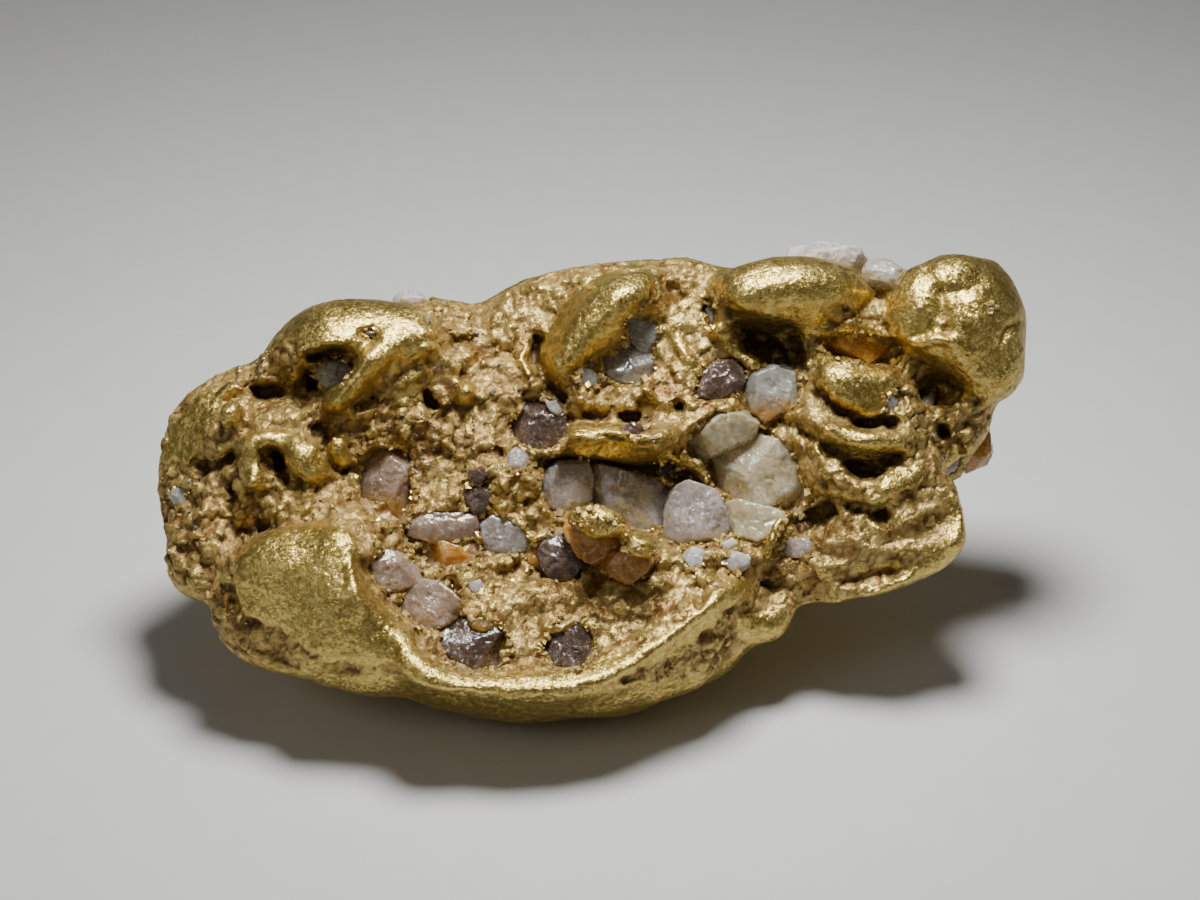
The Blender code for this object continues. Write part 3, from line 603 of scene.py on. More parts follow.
CRACKS = [
    ([(432, 358), (410, 368), (392, 380), (376, 394), (362, 406), (346, 415), (326, 416)], 4, 0.16),
    ([(446, 349), (458, 339), (474, 339), (483, 350), (473, 366), (459, 375)], 4, 0.20),
    ([(498, 318), (508, 340), (506, 356)], 4, 0.08),
    ([(536, 338), (535, 352), (543, 372), (553, 388), (567, 403)], 7, 0.45),
    ([(568, 374), (580, 364), (600, 356)], 3.5, 0.15),
    ([(656, 284), (648, 299), (636, 311)], 3.5, 0.20),
    ([(670, 286), (684, 296), (698, 300)], 3, 0.10),
    ([(658, 358), (668, 372), (674, 384)], 2.5, 0.20),
    ([(690, 345), (700, 358), (706, 372)], 2.5, 0.12),
    ([(542, 464), (570, 463), (600, 465), (640, 469), (672, 469), (692, 479)], 7, 0.45),
    ([(563, 420), (580, 418), (610, 417), (648, 419)], 3.5, 0.20),
    ([(815, 393), (838, 409), (862, 421), (884, 421)], 7, 0.27),
    ([(828, 453), (850, 462), (880, 464), (898, 456)], 8, 0.27),
    ([(800, 433), (822, 441), (838, 453)], 3.5, 0.20),
    ([(796, 428), (780, 422), (772, 428)], 3, 0.15),
    ([(838, 506), (860, 513), (886, 515)], 8, 0.24),
    ([(850, 582), (872, 575), (906, 572)], 4.5, 0.16),
    ([(926, 286), (946, 293), (966, 291), (980, 282)], 5.0, 0.08),
    ([(941, 296), (941, 312), (950, 328)], 4.0, 0.12),
    ([(958, 292), (964, 304), (970, 317)], 4, 0.07),
    ([(1000, 346), (1006, 330), (1018, 321)], 3, 0.15),
    ([(884, 262), (882, 285), (884, 312)], 4.0, 0.12),
    ([(903, 258), (922, 262), (930, 276)], 4.0, 0.12),
    ([(915, 337), (932, 331), (945, 333)], 3, 0.20),
    ([(248, 429), (275, 429), (298, 428), (299, 404)], 2.5, 0.14),
    ([(246, 403), (248, 420), (240, 435), (228, 435), (220, 420), (223, 404), (234, 399)], 2.5, 0.14),
    ([(326, 428), (325, 446), (331, 462), (340, 474), (354, 466)], 3.5, 0.24),
    ([(200, 468), (214, 471), (226, 462), (238, 452)], 5, 0.30),
    ([(222, 480), (233, 492), (230, 510)], 4.5, 0.22),
    ([(228, 524), (240, 533), (254, 529), (268, 526)], 6, 0.28),
    ([(262, 531), (290, 523), (330, 519), (358, 531)], 3.5, 0.14),
    ([(362, 562), (374, 582), (392, 600), (412, 614)], 5, 0.24),
    ([(404, 460), (420, 456), (446, 452)], 3, 0.12),
    ([(500, 452), (508, 466), (518, 478)], 2.5, 0.14),
    ([(520, 495), (530, 508), (540, 514)], 2.5, 0.12),
    ([(560, 528), (580, 534), (604, 542), (618, 540)], 3.5, 0.12),
    ([(742, 543), (756, 546), (764, 556)], 3.5, 0.18),
]
# Outline, depth in mm.
HOLES = [
    ([(302, 352), (316, 353), (330, 347), (344, 348), (357, 357), (355, 369), (344, 373), (332, 361),
      (318, 361), (306, 362)], 0.55),
    ([(300, 366), (312, 372), (322, 392), (311, 390)], 0.40),
    ([(246, 384), (262, 382), (284, 388), (282, 398), (262, 401), (250, 397)], 0.35),
    ([(306, 424), (318, 424), (324, 416), (322, 434), (312, 440)], 0.35),
    ([(271, 454), (279, 447), (285, 456), (288, 470), (295, 482), (286, 488), (276, 476)], 0.34),
    ([(421, 392), (428, 388), (434, 396), (441, 404), (438, 413), (426, 408)], 0.45),
    ([(703, 302), (712, 300), (717, 312), (716, 328), (708, 330)], 0.40),
    ([(720, 304), (742, 308), (770, 318), (798, 326), (806, 348), (808, 370), (790, 372), (768, 362),
      (750, 348), (736, 328)], 0.27),
    ([(672, 402), (682, 399), (688, 405), (682, 413), (673, 411)], 0.35),
    ([(584, 412), (592, 408), (600, 414), (594, 421), (585, 420)], 0.22),
    ([(614, 414), (630, 409), (650, 415), (654, 424), (634, 424), (618, 422)], 0.28),
    ([(886, 420), (896, 416), (902, 424), (896, 432), (888, 430)], 0.30),
    ([(852, 421), (870, 418), (882, 425), (876, 432), (858, 430)], 0.28),
    ([(790, 520), (815, 505), (832, 500), (838, 515), (815, 530), (800, 536)], 0.40),
    ([(845, 462), (870, 466), (888, 470), (880, 480), (856, 480)], 0.30),
    ([(171, 460), (178, 459), (181, 465), (177, 470), (171, 468)], 0.18),
    ([(936, 424), (946, 420), (954, 430), (948, 440), (938, 437)], 0.30),
    ([(446, 578), (456, 578), (457, 590), (449, 592)], 0.30),
    ([(362, 330), (372, 327), (379, 333), (384, 342), (376, 345), (366, 339)], 0.12),
    ([(690, 586), (702, 582), (706, 596), (696, 604)], 0.25),
]


# Calm ground, where the crust is smoother.
CALM = [
    [(500, 578), (600, 585), (700, 575), (690, 640), (600, 662), (510, 650), (480, 610)],
    [(655, 300), (700, 290), (735, 330), (745, 370), (700, 400), (660, 385), (650, 340)],
    [(484, 300), (540, 268), (560, 290), (535, 330), (510, 345), (490, 340)],
    [(196, 400), (300, 400), (300, 430), (240, 438), (215, 470), (185, 440)],
    [(640, 395), (735, 385), (730, 420), (660, 445)],
    [(890, 500), (975, 490), (960, 560), (840, 600), (800, 560), (830, 540)],
    [(780, 400), (905, 420), (905, 480), (800, 470)],
    [(395, 345), (480, 340), (500, 380), (440, 400), (380, 400)],
]


def calm_map(pixels):
    """1 on calm ground."""
    calm = np.zeros(len(pixels))
    for outline in CALM:
        raise_near(calm, pixels, outline, 20, outline_distance, lambda distance: ramp(-distance, -12.0, 6.0))
    return calm


def crumbly_ground(points, calm):
    """How crumbly the ground is: 1 on the left of the face and a quarter on its right, times a tenth where it
    is calm."""
    return (1.0 - 0.9 * calm) * (0.25 + 0.75 * ramp(-to_face(points)[:, 0], -1.5, 1.0))


def relief(points):
    """How far each point moves out: round folds as h*sqrt(1-(d/w)^2), soft folds as h*exp(-(d/w)^2), cracks
    as -h*exp(-(d/w)^2), and holes as steps down."""
    height = np.zeros(len(points))
    pixels = wavered(points, 1.2)
    for name, (width, rise, taper) in ROUND_FOLDS.items():
        path = FOLD_PATHS[name]
        some = near(pixels, path, width)
        distance = path_distance(pixels[some], path) / width
        grown_up = ramp(np.linalg.norm(pixels[some] - path[0], axis=1), 0.0, taper) if taper else 1.0
        bar = rise * grown_up * np.sqrt(np.clip(1.0 - distance ** 2, 0.0, 1.0))
        height[some] = np.maximum(height[some], bar)
    pixels = wavered(points)
    for sign, strokes in ((1.0, FOLDS), (-1.0, CRACKS)):
        for path, width, rise in strokes:
            some = near(pixels, path, 3 * width)
            distance = path_distance(pixels[some], path)
            height[some] += sign * rise * np.exp(-(distance / width) ** 2)
    for outline, depth in HOLES:
        some = near(pixels, outline, 8)
        height[some] -= depth * ramp(-outline_distance(pixels[some], outline), -2.5, 4.0)
    return height


FACES_OUT = (0.15, 0.45)             # the outward part of the normal, from the face's edge to well on it
CHUNK_SIZE, CHUNK_HEIGHT = 0.72, 0.10    # mm, the broken ground under the crumbs
SWELL_SIZE, SWELL_HEIGHT = 0.52, 0.09    # mm, the round swells over it
DRAWN_OUT = [0.45, 0.0, -0.35]       # on the right the ground is longer across and shorter upwards

out, _ = facing(skin, skin_faces, skin_edges)
on_face = ramp(out, *FACES_OUT) * ramp(to_face(skin)[:, 2], -3.0, -2.2)
skin_rough = (1.0 - skin_worn) * on_face
calm = calm_map(in_picture(skin))
crumbly = crumbly_ground(skin, calm)
on_right = ramp(to_face(skin)[:, 0], 2.0, 4.0)[:, None]
bent = skin + 0.10 * noise_vector(skin, 0.4, 91)
bent = bent * (1.0 - on_right * DRAWN_OUT)
chunks, _, _ = blocks(bent, CHUNK_SIZE, 81)
broken_ground = CHUNK_HEIGHT * chunks - SWELL_HEIGHT * creased_noise(bent, SWELL_SIZE, 2, 15)
rise = on_face * relief(skin)
rise += skin_rough * (1.0 - 0.65 * calm) * broken_ground
skin = skin + rise[:, None] * FACE_AXES[2]
print("relief from", rise.min().round(2), "to", rise.max().round(2), "mm")

# %% [markdown]
# ## Broken quartz, laid out
#
# A grain of quartz breaks into flat and stepped faces. Each grain of the face has an outline in the picture,
# and lies on the skin where the camera's line of sight meets it. Its sides stand on the outline, two or three
# facets make its top, and all of them are planes, so that one formula can turn them into a surface later.

# %% Grain outlines
OUTLINES = {
    "quartz_pale_main": [(706, 462), (718, 442), (746, 433), (775, 440), (793, 461), (814, 499), (800, 515),
                         (738, 500), (714, 488)],
    "quartz_pale_upper": [(688, 456), (694, 432), (714, 415), (742, 413), (766, 428), (760, 434), (706, 462)],
    "quartz_pale_lower": [(727, 503), (745, 502), (775, 510), (785, 521), (774, 534), (757, 542), (738, 534),
                          (728, 520)],
    "quartz_violet_left": [(543, 474), (560, 464), (585, 462), (592, 478), (589, 503), (570, 512), (552, 508),
                           (544, 492)],
    "quartz_violet_middle": [(588, 472), (600, 465), (636, 476), (664, 483), (678, 494), (668, 520),
                             (645, 534), (620, 524), (600, 512), (588, 502)],
    "quartz_violet_right": [(674, 490), (692, 481), (712, 491), (726, 510), (728, 530), (712, 541),
                            (684, 545), (664, 536), (666, 512)],
    "quartz_dark_crystal": [(541, 550), (549, 536), (566, 533), (580, 545), (586, 562), (574, 578),
                            (558, 580), (545, 566)],
    "quartz_smoky_left": [(361, 458), (372, 447), (398, 449), (410, 462), (411, 490), (405, 518), (385, 522),
                          (366, 514), (359, 488)],
    "quartz_lilac_left": [(404, 526), (428, 515), (474, 514), (481, 536), (440, 542), (408, 546)],
    "quartz_lilac_right": [(481, 518), (502, 516), (522, 532), (530, 546), (512, 555), (486, 552)],
    "quartz_smoky_brown": [(370, 566), (384, 551), (402, 555), (418, 570), (424, 586), (408, 594), (388, 590),
                           (375, 579)],
    "quartz_smoky_low": [(404, 594), (424, 582), (446, 586), (461, 602), (453, 622), (424, 629), (406, 615)],
    "quartz_dark_ledge": [(512, 424), (526, 405), (546, 401), (562, 413), (567, 433), (551, 450), (530, 447),
                          (516, 437)],
    "quartz_dark_upper": [(697, 396), (702, 376), (716, 362), (738, 361), (744, 378), (736, 394), (716, 400)],
    "quartz_clear_round": [(745, 386), (754, 371), (775, 367), (794, 373), (798, 394), (788, 413), (771, 425),
                           (752, 410)],
    "quartz_grey_lobe_top": [(626, 322), (640, 314), (652, 321), (657, 336), (650, 352), (637, 347),
                             (629, 336)],
    "quartz_grey_lobe": [(602, 356), (626, 344), (647, 352), (653, 370), (640, 382), (616, 384), (604, 372)],
    "quartz_grey_eye": [(316, 373), (324, 360), (340, 359), (350, 369), (342, 382), (326, 387)],
    "quartz_amber_bead_left": [(560, 528), (574, 524), (604, 534), (622, 541), (618, 557), (596, 562),
                               (573, 552)],
    "quartz_amber_bead_right": [(604, 556), (636, 549), (656, 556), (646, 571), (629, 583), (611, 576)],
    "quartz_amber_cave": [(816, 343), (838, 333), (872, 337), (900, 344), (893, 362), (862, 361), (832, 356)],
    "quartz_dark_rim_left": [(440, 640), (452, 620), (478, 617), (500, 628), (512, 648), (500, 668),
                             (470, 672), (448, 661)],
    "quartz_dark_rim_right": [(546, 652), (552, 628), (568, 620), (588, 632), (594, 652), (580, 670),
                              (558, 668)],
}
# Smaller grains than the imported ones: outline, kind.
SMALL_GRAINS = {
    "brown_corner": ([(406, 547), (440, 541), (480, 538), (482, 557), (458, 569), (424, 567)],
                     "quartz_amber"),
    "white_left": ([(683, 556), (694, 545), (706, 552), (705, 566), (690, 569)], "quartz_milky"),
    "white_right": ([(721, 560), (734, 551), (751, 556), (748, 569), (734, 575)], "quartz_milky"),
    "lilac_small": ([(721, 543), (732, 536), (738, 546), (728, 553)], "quartz_milky"),
    "right_grain": ([(779, 550), (788, 538), (806, 537), (815, 546), (808, 556), (790, 559)],
                    "quartz_violet"),
    "under_bead": ([(527, 553), (538, 542), (546, 556), (539, 571), (529, 567)], "quartz_amber"),
    "grey_hook": ([(576, 372), (586, 365), (598, 374), (595, 387), (581, 385)], "quartz_grey"),
    "blue_shard": ([(404, 591), (410, 577), (424, 585), (421, 598)], "quartz_grey"),
    "lilac_speck": ([(468, 583), (480, 579), (485, 590), (474, 598)], "quartz_violet"),
    "round_grey": ([(169, 496), (174, 488), (183, 488), (188, 496), (184, 505), (174, 506)], "quartz_grey"),
    "dome_speck": ([(362, 332), (370, 328), (378, 332), (374, 339), (365, 338)], "quartz_dark"),
    "knob_speck": ([(985, 306), (990, 303), (995, 308), (991, 312)], "quartz_milky"),
    "middle_grain": ([(507, 455), (516, 444), (529, 450), (533, 464), (518, 473), (508, 468)],
                     "quartz_violet"),
    "grey_cluster": ([(462, 492), (475, 484), (492, 493), (493, 510), (474, 514)], "quartz_dark"),
    "grey_cluster_top": ([(468, 472), (480, 466), (488, 474), (482, 484), (470, 482)], "quartz_dark"),
    "dark_slot": ([(704, 304), (712, 302), (717, 314), (715, 327), (707, 326)], "quartz_grey"),
    "flank_grey": ([(885, 398), (894, 392), (898, 404), (892, 414), (885, 409)], "quartz_grey"),
    "dark_gap": ([(620, 426), (636, 422), (648, 428), (640, 436), (624, 435)], "quartz_dark"),
    "shadow_dark": ([(655, 466), (668, 461), (682, 468), (674, 476), (660, 475)], "quartz_dark"),
    "purple_top": ([(545, 402), (556, 400), (562, 412), (553, 418)], "quartz_grey"),
}


def grown(outline, by):
    """An outline with each corner moved away from its middle by so many pixels."""
    outline = np.asarray(outline, float)
    ways = outline - outline.mean(0)
    return outline + by * ways / np.linalg.norm(ways, axis=1, keepdims=True)


OUTLINES = {name: grown(outline, 2.5) for name, outline in OUTLINES.items()}
SPOT_REACH = 0.35        # mm, the skin around a grain that its base lies along
SIDE_LEAN = (-0.10, 0.30)
FACET_TILTS = np.array([[0.10], [0.28], [0.42], [0.5]])
FACET_HEIGHTS = np.array([1.0, 1.02, 1.12, 1.2])     # in half heights of the grain


def sight_hit(pixel, surface):
    """Where the line of sight through a pixel first meets a surface."""
    way = sight_lines([pixel])[0]
    return surface.ray_cast(Vector(CAMERA_PLACE), Vector(way))[0]


def planes_of_outline(outline, surface, surface_points, surface_normals, stand, depth, chance):
    """A grain as planes: its sides through the outline's legs, its facets so far above the skin, and its
    bottom so far below it, in mm."""
    outline = np.asarray(outline, float)
    middle = outline.mean(0)
    spot = np.array(sight_hit(middle, surface))
    close = np.linalg.norm(surface_points - spot, axis=1) < SPOT_REACH
    normal = surface_normals[close].mean(0) + FACE_AXES[2]
    normal /= np.linalg.norm(normal)
    ways = sight_lines(outline)
    reach = ((spot - CAMERA_PLACE) @ normal) / (ways @ normal)
    corners = CAMERA_PLACE + ways * reach[:, None]
    centre = spot + normal * (stand - depth) / 2
    legs = np.roll(corners, -1, axis=0) - corners
    sides = np.cross(normal, legs)
    sides /= np.linalg.norm(sides, axis=1, keepdims=True)
    middles = corners + legs / 2
    sides *= np.sign(np.sum(sides * (middles - centre), axis=1))[:, None]
    sides += normal * chance.uniform(*SIDE_LEAN, (len(sides), 1))
    sides /= np.linalg.norm(sides, axis=1, keepdims=True)
    side_distances = np.sum(sides * (middles - centre), axis=1)
    tops = normal + chance.normal(size=(len(FACET_TILTS), 3)) * FACET_TILTS
    tops /= np.linalg.norm(tops, axis=1, keepdims=True)
    half = (stand + depth) / 2
    normals = np.concatenate([sides, tops, -normal[None]])
    distances = np.concatenate([np.maximum(side_distances, 0.05), half * FACET_HEIGHTS, [half]])
    return normals, distances, centre


chance = np.random.default_rng(5)
skin_tree = BVHTree.FromPolygons(skin.tolist(), skin_faces.tolist())
skin_normals = normals_of(skin, skin_faces)
# How far each grain stands above the skin, in mm.
STANDS = {
    "quartz_pale_main": 0.34, "quartz_pale_upper": 0.20, "quartz_pale_lower": 0.20,
    "quartz_violet_left": 0.18, "quartz_violet_middle": 0.20, "quartz_violet_right": 0.22,
    "quartz_dark_crystal": 0.26, "quartz_clear_round": 0.20, "quartz_smoky_left": 0.16,
    "quartz_grey_lobe": 0.18, "quartz_grey_eye": 0.08, "quartz_dark_ledge": 0.07,
    "quartz_dark_rim_left": 0.05, "quartz_dark_rim_right": 0.05,
    "quartz_amber_bead_left": 0.18, "quartz_amber_bead_right": 0.20,
}
USUAL_STAND, GRAIN_DEPTH = 0.14, 0.62    # mm
SMALL_STAND, SMALL_DEPTH = 0.05, 0.30    # mm
shapes = [(name, outline, STANDS.get(name, USUAL_STAND), GRAIN_DEPTH) for name, outline in OUTLINES.items()]
shapes += [(name, outline, SMALL_STAND, SMALL_DEPTH) for name, (outline, _) in SMALL_GRAINS.items()]
grain_planes = {
    name: planes_of_outline(outline, skin_tree, skin, skin_normals, stand, depth, chance)
    for name, outline, stand, depth in shapes
}
print("grains with outlines:", len(grain_planes))

# %% Sink their pockets into the skin
POCKET_DEPTH, SMALL_POCKET_DEPTH = 0.42, 0.16    # mm at least
DEEPEST_POCKET = 0.9     # mm
BELOW_THE_TOP = 0.12     # mm from a grain's top down to the gold's edge at its side


def above_grain(points, planes):
    """How far each point stands above a grain's lowest top facet, along the face's outward axis."""
    normals, distances, middle = planes
    tilted = normals @ FACE_AXES.T
    tops = tilted[:, 2] > 0.5
    offset = (points - middle) @ FACE_AXES.T
    level = (distances[tops] - offset[:, :2] @ tilted[tops, :2].T) / tilted[tops, 2]
    return offset[:, 2] - level.min(axis=1)


def pockets(points):
    """How deep the gold lies under each grain: steep walls inside each outline, down to below its top."""
    pixels = wavered(points, 1.4)
    depth = np.zeros(len(points))
    outlines = [(name, outline, POCKET_DEPTH) for name, outline in OUTLINES.items()]
    outlines += [(name, outline, SMALL_POCKET_DEPTH) for name, (outline, _) in SMALL_GRAINS.items()]
    for name, outline, least in outlines:
        some = near(pixels, outline, 6)
        inside = ramp(-outline_distance(pixels[some], outline), 0.0, 4.0)
        above = above_grain(points[some], grain_planes[name])
        excess = np.clip(above + BELOW_THE_TOP, least, DEEPEST_POCKET)
        depth[some] = np.maximum(depth[some], excess * inside)
    return depth


skin = skin - (on_face * pockets(skin))[:, None] * FACE_AXES[2]
skin_normals = normals_of(skin, skin_faces)
print("pockets sunk")

# %% [markdown]
# ## Crumbs
#
# The rough ground is a crust of crumbs, from a tenth to half a millimetre, grown and cemented together. At
# most one crumb stands in each cell of a lattice that the skin passes through, so that they crowd without a
# pattern. A crumb is a cube with its corners pushed about. The largest ones are fused with the skin.

# %% Scatter the crumbs


def unit_ball(rings, spokes):
    """A ball on a grid of ring angle a and spoke angle b: (sin a cos b, sin a sin b, cos a)."""
    a = np.linspace(0.0, math.pi, rings + 1)[1:-1]
    b = np.linspace(0.0, 2.0 * math.pi, spokes, endpoint=False)
    around = np.stack([np.outer(np.sin(a), np.cos(b)), np.outer(np.sin(a), np.sin(b)),
                       np.outer(np.cos(a), np.ones(spokes))], axis=-1).reshape(-1, 3)
    points = np.concatenate([around, [[0, 0, 1.0], [0, 0, -1.0]]])
    ring = np.arange(spokes)
    after = (ring + 1) % spokes
    faces = []
    for r in range(rings - 2):
        here, below = r * spokes, (r + 1) * spokes
        faces.append(np.stack([here + ring, below + ring, below + after], axis=1))
        faces.append(np.stack([here + ring, below + after, here + after], axis=1))
    top, bottom = len(around), len(around) + 1
    last = (rings - 2) * spokes
    faces.append(np.stack([np.full(spokes, top), ring, after], axis=1))
    faces.append(np.stack([last + ring, np.full(spokes, bottom), last + after], axis=1))
    return points, np.concatenate(faces)


def turned(count, chance):
    """Random turns, as matrices, from unit quaternions."""
    w, x, y, z = np.moveaxis(chance.normal(size=(count, 4)), 1, 0)
    length = np.sqrt(w * w + x * x + y * y + z * z)
    w, x, y, z = w / length, x / length, y / length, z / length
    return np.stack([
        np.stack([1 - 2 * (y * y + z * z), 2 * (x * y - z * w), 2 * (x * z + y * w)], axis=1),
        np.stack([2 * (x * y + z * w), 1 - 2 * (x * x + z * z), 2 * (y * z - x * w)], axis=1),
        np.stack([2 * (x * z - y * w), 2 * (y * z + x * w), 1 - 2 * (x * x + y * y)], axis=1),
    ], axis=1)


CUBE = np.array([[x, y, z] for x in (-1.0, 1.0) for y in (-1.0, 1.0) for z in (-1.0, 1.0)])
CUBE_FACES = np.array([[0, 1, 3], [0, 3, 2], [4, 6, 7], [4, 7, 5], [0, 4, 5], [0, 5, 1],
                       [2, 3, 7], [2, 7, 6], [0, 2, 6], [0, 6, 4], [1, 5, 7], [1, 7, 3]])


CORNER_REACH, CORNER_PUSH = 0.64, 0.24   # in bit sizes
FLATTEST = 0.45


def bit_sizes(smallest, spread, power, count, chance):
    """Many small bits and a few large ones: smallest + spread * u^power, in mm, with u even from 0 to 1."""
    return smallest + spread * chance.random(count) ** power


def broken_bits(middles, sizes, chance):
    """Angular bits: a cube with each corner pushed about, stretched unevenly and turned at random."""
    count = len(middles)
    corners = CUBE[None] * CORNER_REACH + chance.uniform(-CORNER_PUSH, CORNER_PUSH, size=(count, 8, 3))
    stretch = chance.uniform(FLATTEST, 1.0, size=(count, 1, 3))
    bits = np.einsum("nij,nkj->nki", turned(count, chance), corners * stretch)
    points = bits * sizes[:, None, None] + middles[:, None, :]
    faces = CUBE_FACES[None] + (np.arange(count) * len(CUBE))[:, None, None]
    return points.reshape(-1, 3), faces.reshape(-1, 3)


LATTICE_SPAN = 4096      # more cells than the nugget is wide


def lattice_places(points, values, spacing):
    """The mean of these values over the points in each lattice cell of this size, and how many there are."""
    cells = np.floor(points / spacing).astype(np.int64)
    key = (cells[:, 0] * LATTICE_SPAN + cells[:, 1]) * LATTICE_SPAN + cells[:, 2]
    _, owner = np.unique(key, return_inverse=True)
    owner = owner.ravel()
    count = np.bincount(owner).astype(float)
    means = [np.bincount(owner, values[:, i]) / count for i in range(values.shape[1])]
    return np.stack(means, axis=1), count


ALL_OUTLINES = list(OUTLINES.values()) + [outline for outline, _ in SMALL_GRAINS.values()]


def grain_distance(points):
    """Distance from each point to the nearest grain's outline in the picture, in pixels."""
    pixels = in_picture(points)
    nearest = np.full(len(points), 99.0)
    for outline in ALL_OUTLINES:
        some = near(pixels, outline, 12)
        nearest[some] = np.minimum(nearest[some], outline_distance(pixels[some], outline))
    return nearest


LATTICE_SHIFT = 0.013    # mm for each salt, so that no two sorts of crumb share a lattice
HASH_CELLS = 97          # in a mm, so that each place draws a number of its own
ROUGH_ENOUGH = 0.75
CLEAR_OF_EDGE_GRAINS = 0.05      # mm


def crumb_seeds(spacing, share, salt, clear_of_grains):
    """Places for crumbs on the rough skin, with the skin's normals there. The spacing is in mm, the share is
    that of cells with a crumb on the most crumbly ground, and the last number is in pixels."""
    packed = np.concatenate([skin, skin_normals, skin_rough[:, None], crumbly[:, None]], axis=1)
    found, count = lattice_places(skin + salt * LATTICE_SHIFT, packed, spacing)
    places, ways, rough_here, crumbly_here = found[:, :3], found[:, 3:6], found[:, 6], found[:, 7]
    keep = (rough_here > ROUGH_ENOUGH) & (count > 3)
    keep &= hashed(np.floor(places * HASH_CELLS), salt) < share * crumbly_here
    keep &= grain_distance(places) > clear_of_grains
    keep &= nearest_block(places, edge_hulls) > CLEAR_OF_EDGE_GRAINS
    return places[keep], ways[keep]


middles, ways = crumb_seeds(0.26, 0.50, 1, 2.5)
chance = np.random.default_rng(11)
crumb_sizes = bit_sizes(0.08, 0.15, 2.5, len(middles), chance)
middles = middles + ways * (crumb_sizes * chance.uniform(-0.45, 0.25, len(middles)))[:, None]
middles = middles + chance.normal(scale=0.05, size=middles.shape)
crumbs = broken_bits(middles, crumb_sizes, chance)
print("fused crumbs:", len(middles))

# %% Beads of gold
# Lumps that stand over the grains: middle and half sizes in pixels, turn in degrees, and rise in mm.
BEADS = [
    ((599, 521), (29, 16), -10, 0.16), ((640, 546), (17, 12), -25, 0.08), ((782, 520), (7, 6), 0, 0.10),
    ((775, 529), (6, 7), 0, 0.10), ((771, 540), (6, 7), 0, 0.10), ((767, 553), (6, 7), 0, 0.08),
    ((465, 392), (9, 12), 0, 0.04), ((480, 622), (16, 8), -20, 0.00), ((233, 416), (13, 16), 0, 0.02),
    ((560, 626), (18, 7), 5, 0.02), ((966, 440), (11, 13), 0, 0.04), ((628, 347), (9, 5), -15, 0.10),
    ((518, 411), (11, 7), 40, 0.00), ((561, 445), (10, 6), 35, 0.00), ((506, 655), (9, 7), -40, 0.02),
]


def bead(middle, half, turn, rise, salt):
    """A ball stretched along the picture's axes, turned in the picture and dented a little, where the line of
    sight meets the skin."""
    ways, faces = unit_ball(16, 24)
    angle = math.radians(turn)
    radii = np.array([half[0], half[1], 1.1 * half[1]]) / PIXELS_PER_MM
    local = ways * radii * (1.0 + 0.16 * noise(ways, 0.7, salt))[:, None]
    across = local[:, 0] * math.cos(angle) - local[:, 1] * math.sin(angle)
    up = local[:, 0] * math.sin(angle) + local[:, 1] * math.cos(angle)
    spot = np.array(sight_hit(middle, skin_tree)) + rise * FACE_AXES[2]
    return spot + np.stack([across, up, local[:, 2]], axis=1) @ FACE_AXES, faces


beads = [bead(*numbers, 400 + number) for number, numbers in enumerate(BEADS)]
print("beads of gold:", len(beads))

# %% [markdown]
# ## The gold, second skin
#
# The skin and the crumbs are fused on a finer grid, which closes every join and leaves creases where lumps
# meet. The back and the lobes don't need so fine a mesh, so they give most of their triangles back. Then the
# skin is moved along its normals: dents where it is worn, sharp little ridges and pits where it is rough.

# %% Fuse, thin out, then push and pull
SECOND_VOXEL = 0.050     # mm
GOLD_LIMIT = 190000      # triangles
DENT_HEIGHT, SMALL_DENT_HEIGHT, SCAR_DEPTH = 0.070, 0.020, 0.05      # mm, where it is worn
LUMP_SIZE = 0.27         # mm, the lumps of the crust
LUMP_HEIGHT, BILLOW_HEIGHT, SMALL_BILLOW_HEIGHT = 0.040, 0.035, 0.010    # mm, where it is rough
SPIKE_LIMITS = ((12, 0.13), (3, 0.045), (3, 0.045), (3, 0.045))  # rounds of relaxing, mm off the relaxed skin


def thinned(points, faces, give_back, limit):
    """Collapses edges until so many triangles are left, mostly where give_back is 1."""
    def set_up(holder):
        group = holder.vertex_groups.new(name="give_back")
        levels = np.round(give_back, 1)
        for level in np.unique(levels):
            group.add(np.nonzero(levels == level)[0].tolist(), float(level), "REPLACE")
        collapse = holder.modifiers.new("thin", "DECIMATE")
        collapse.ratio = min(1.0, limit / len(faces))
        collapse.vertex_group = "give_back"

    return modified(points, faces, set_up)


def biggest_island(points, faces):
    """Only the biggest connected shape. Each point takes the lowest number among its neighbours and itself,
    and then its holder's number, until nothing changes; points of one island end with one number."""
    edges = edges_of(faces)
    island = np.arange(len(points))
    while True:
        lower = island.copy()
        np.minimum.at(lower, edges[:, 0], island[edges[:, 1]])
        np.minimum.at(lower, edges[:, 1], island[edges[:, 0]])
        lower = lower[lower]
        if np.array_equal(lower, island):
            break
        island = lower
    keep = island == np.bincount(island).argmax()
    renumbered = np.cumsum(keep) - 1
    return points[keep], renumbered[faces[keep[faces[:, 0]]]]


def without_spikes(points, edges):
    """No point stands further off the relaxed skin than the limit, so that no crumb ends in a thorn."""
    for rounds, furthest in SPIKE_LIMITS:
        offset = points - relaxed(points, edges, rounds)
        length = np.linalg.norm(offset, axis=1, keepdims=True)
        points = points - offset * np.clip(1.0 - furthest / np.maximum(length, 1e-6), 0.0, 1.0)
    return points


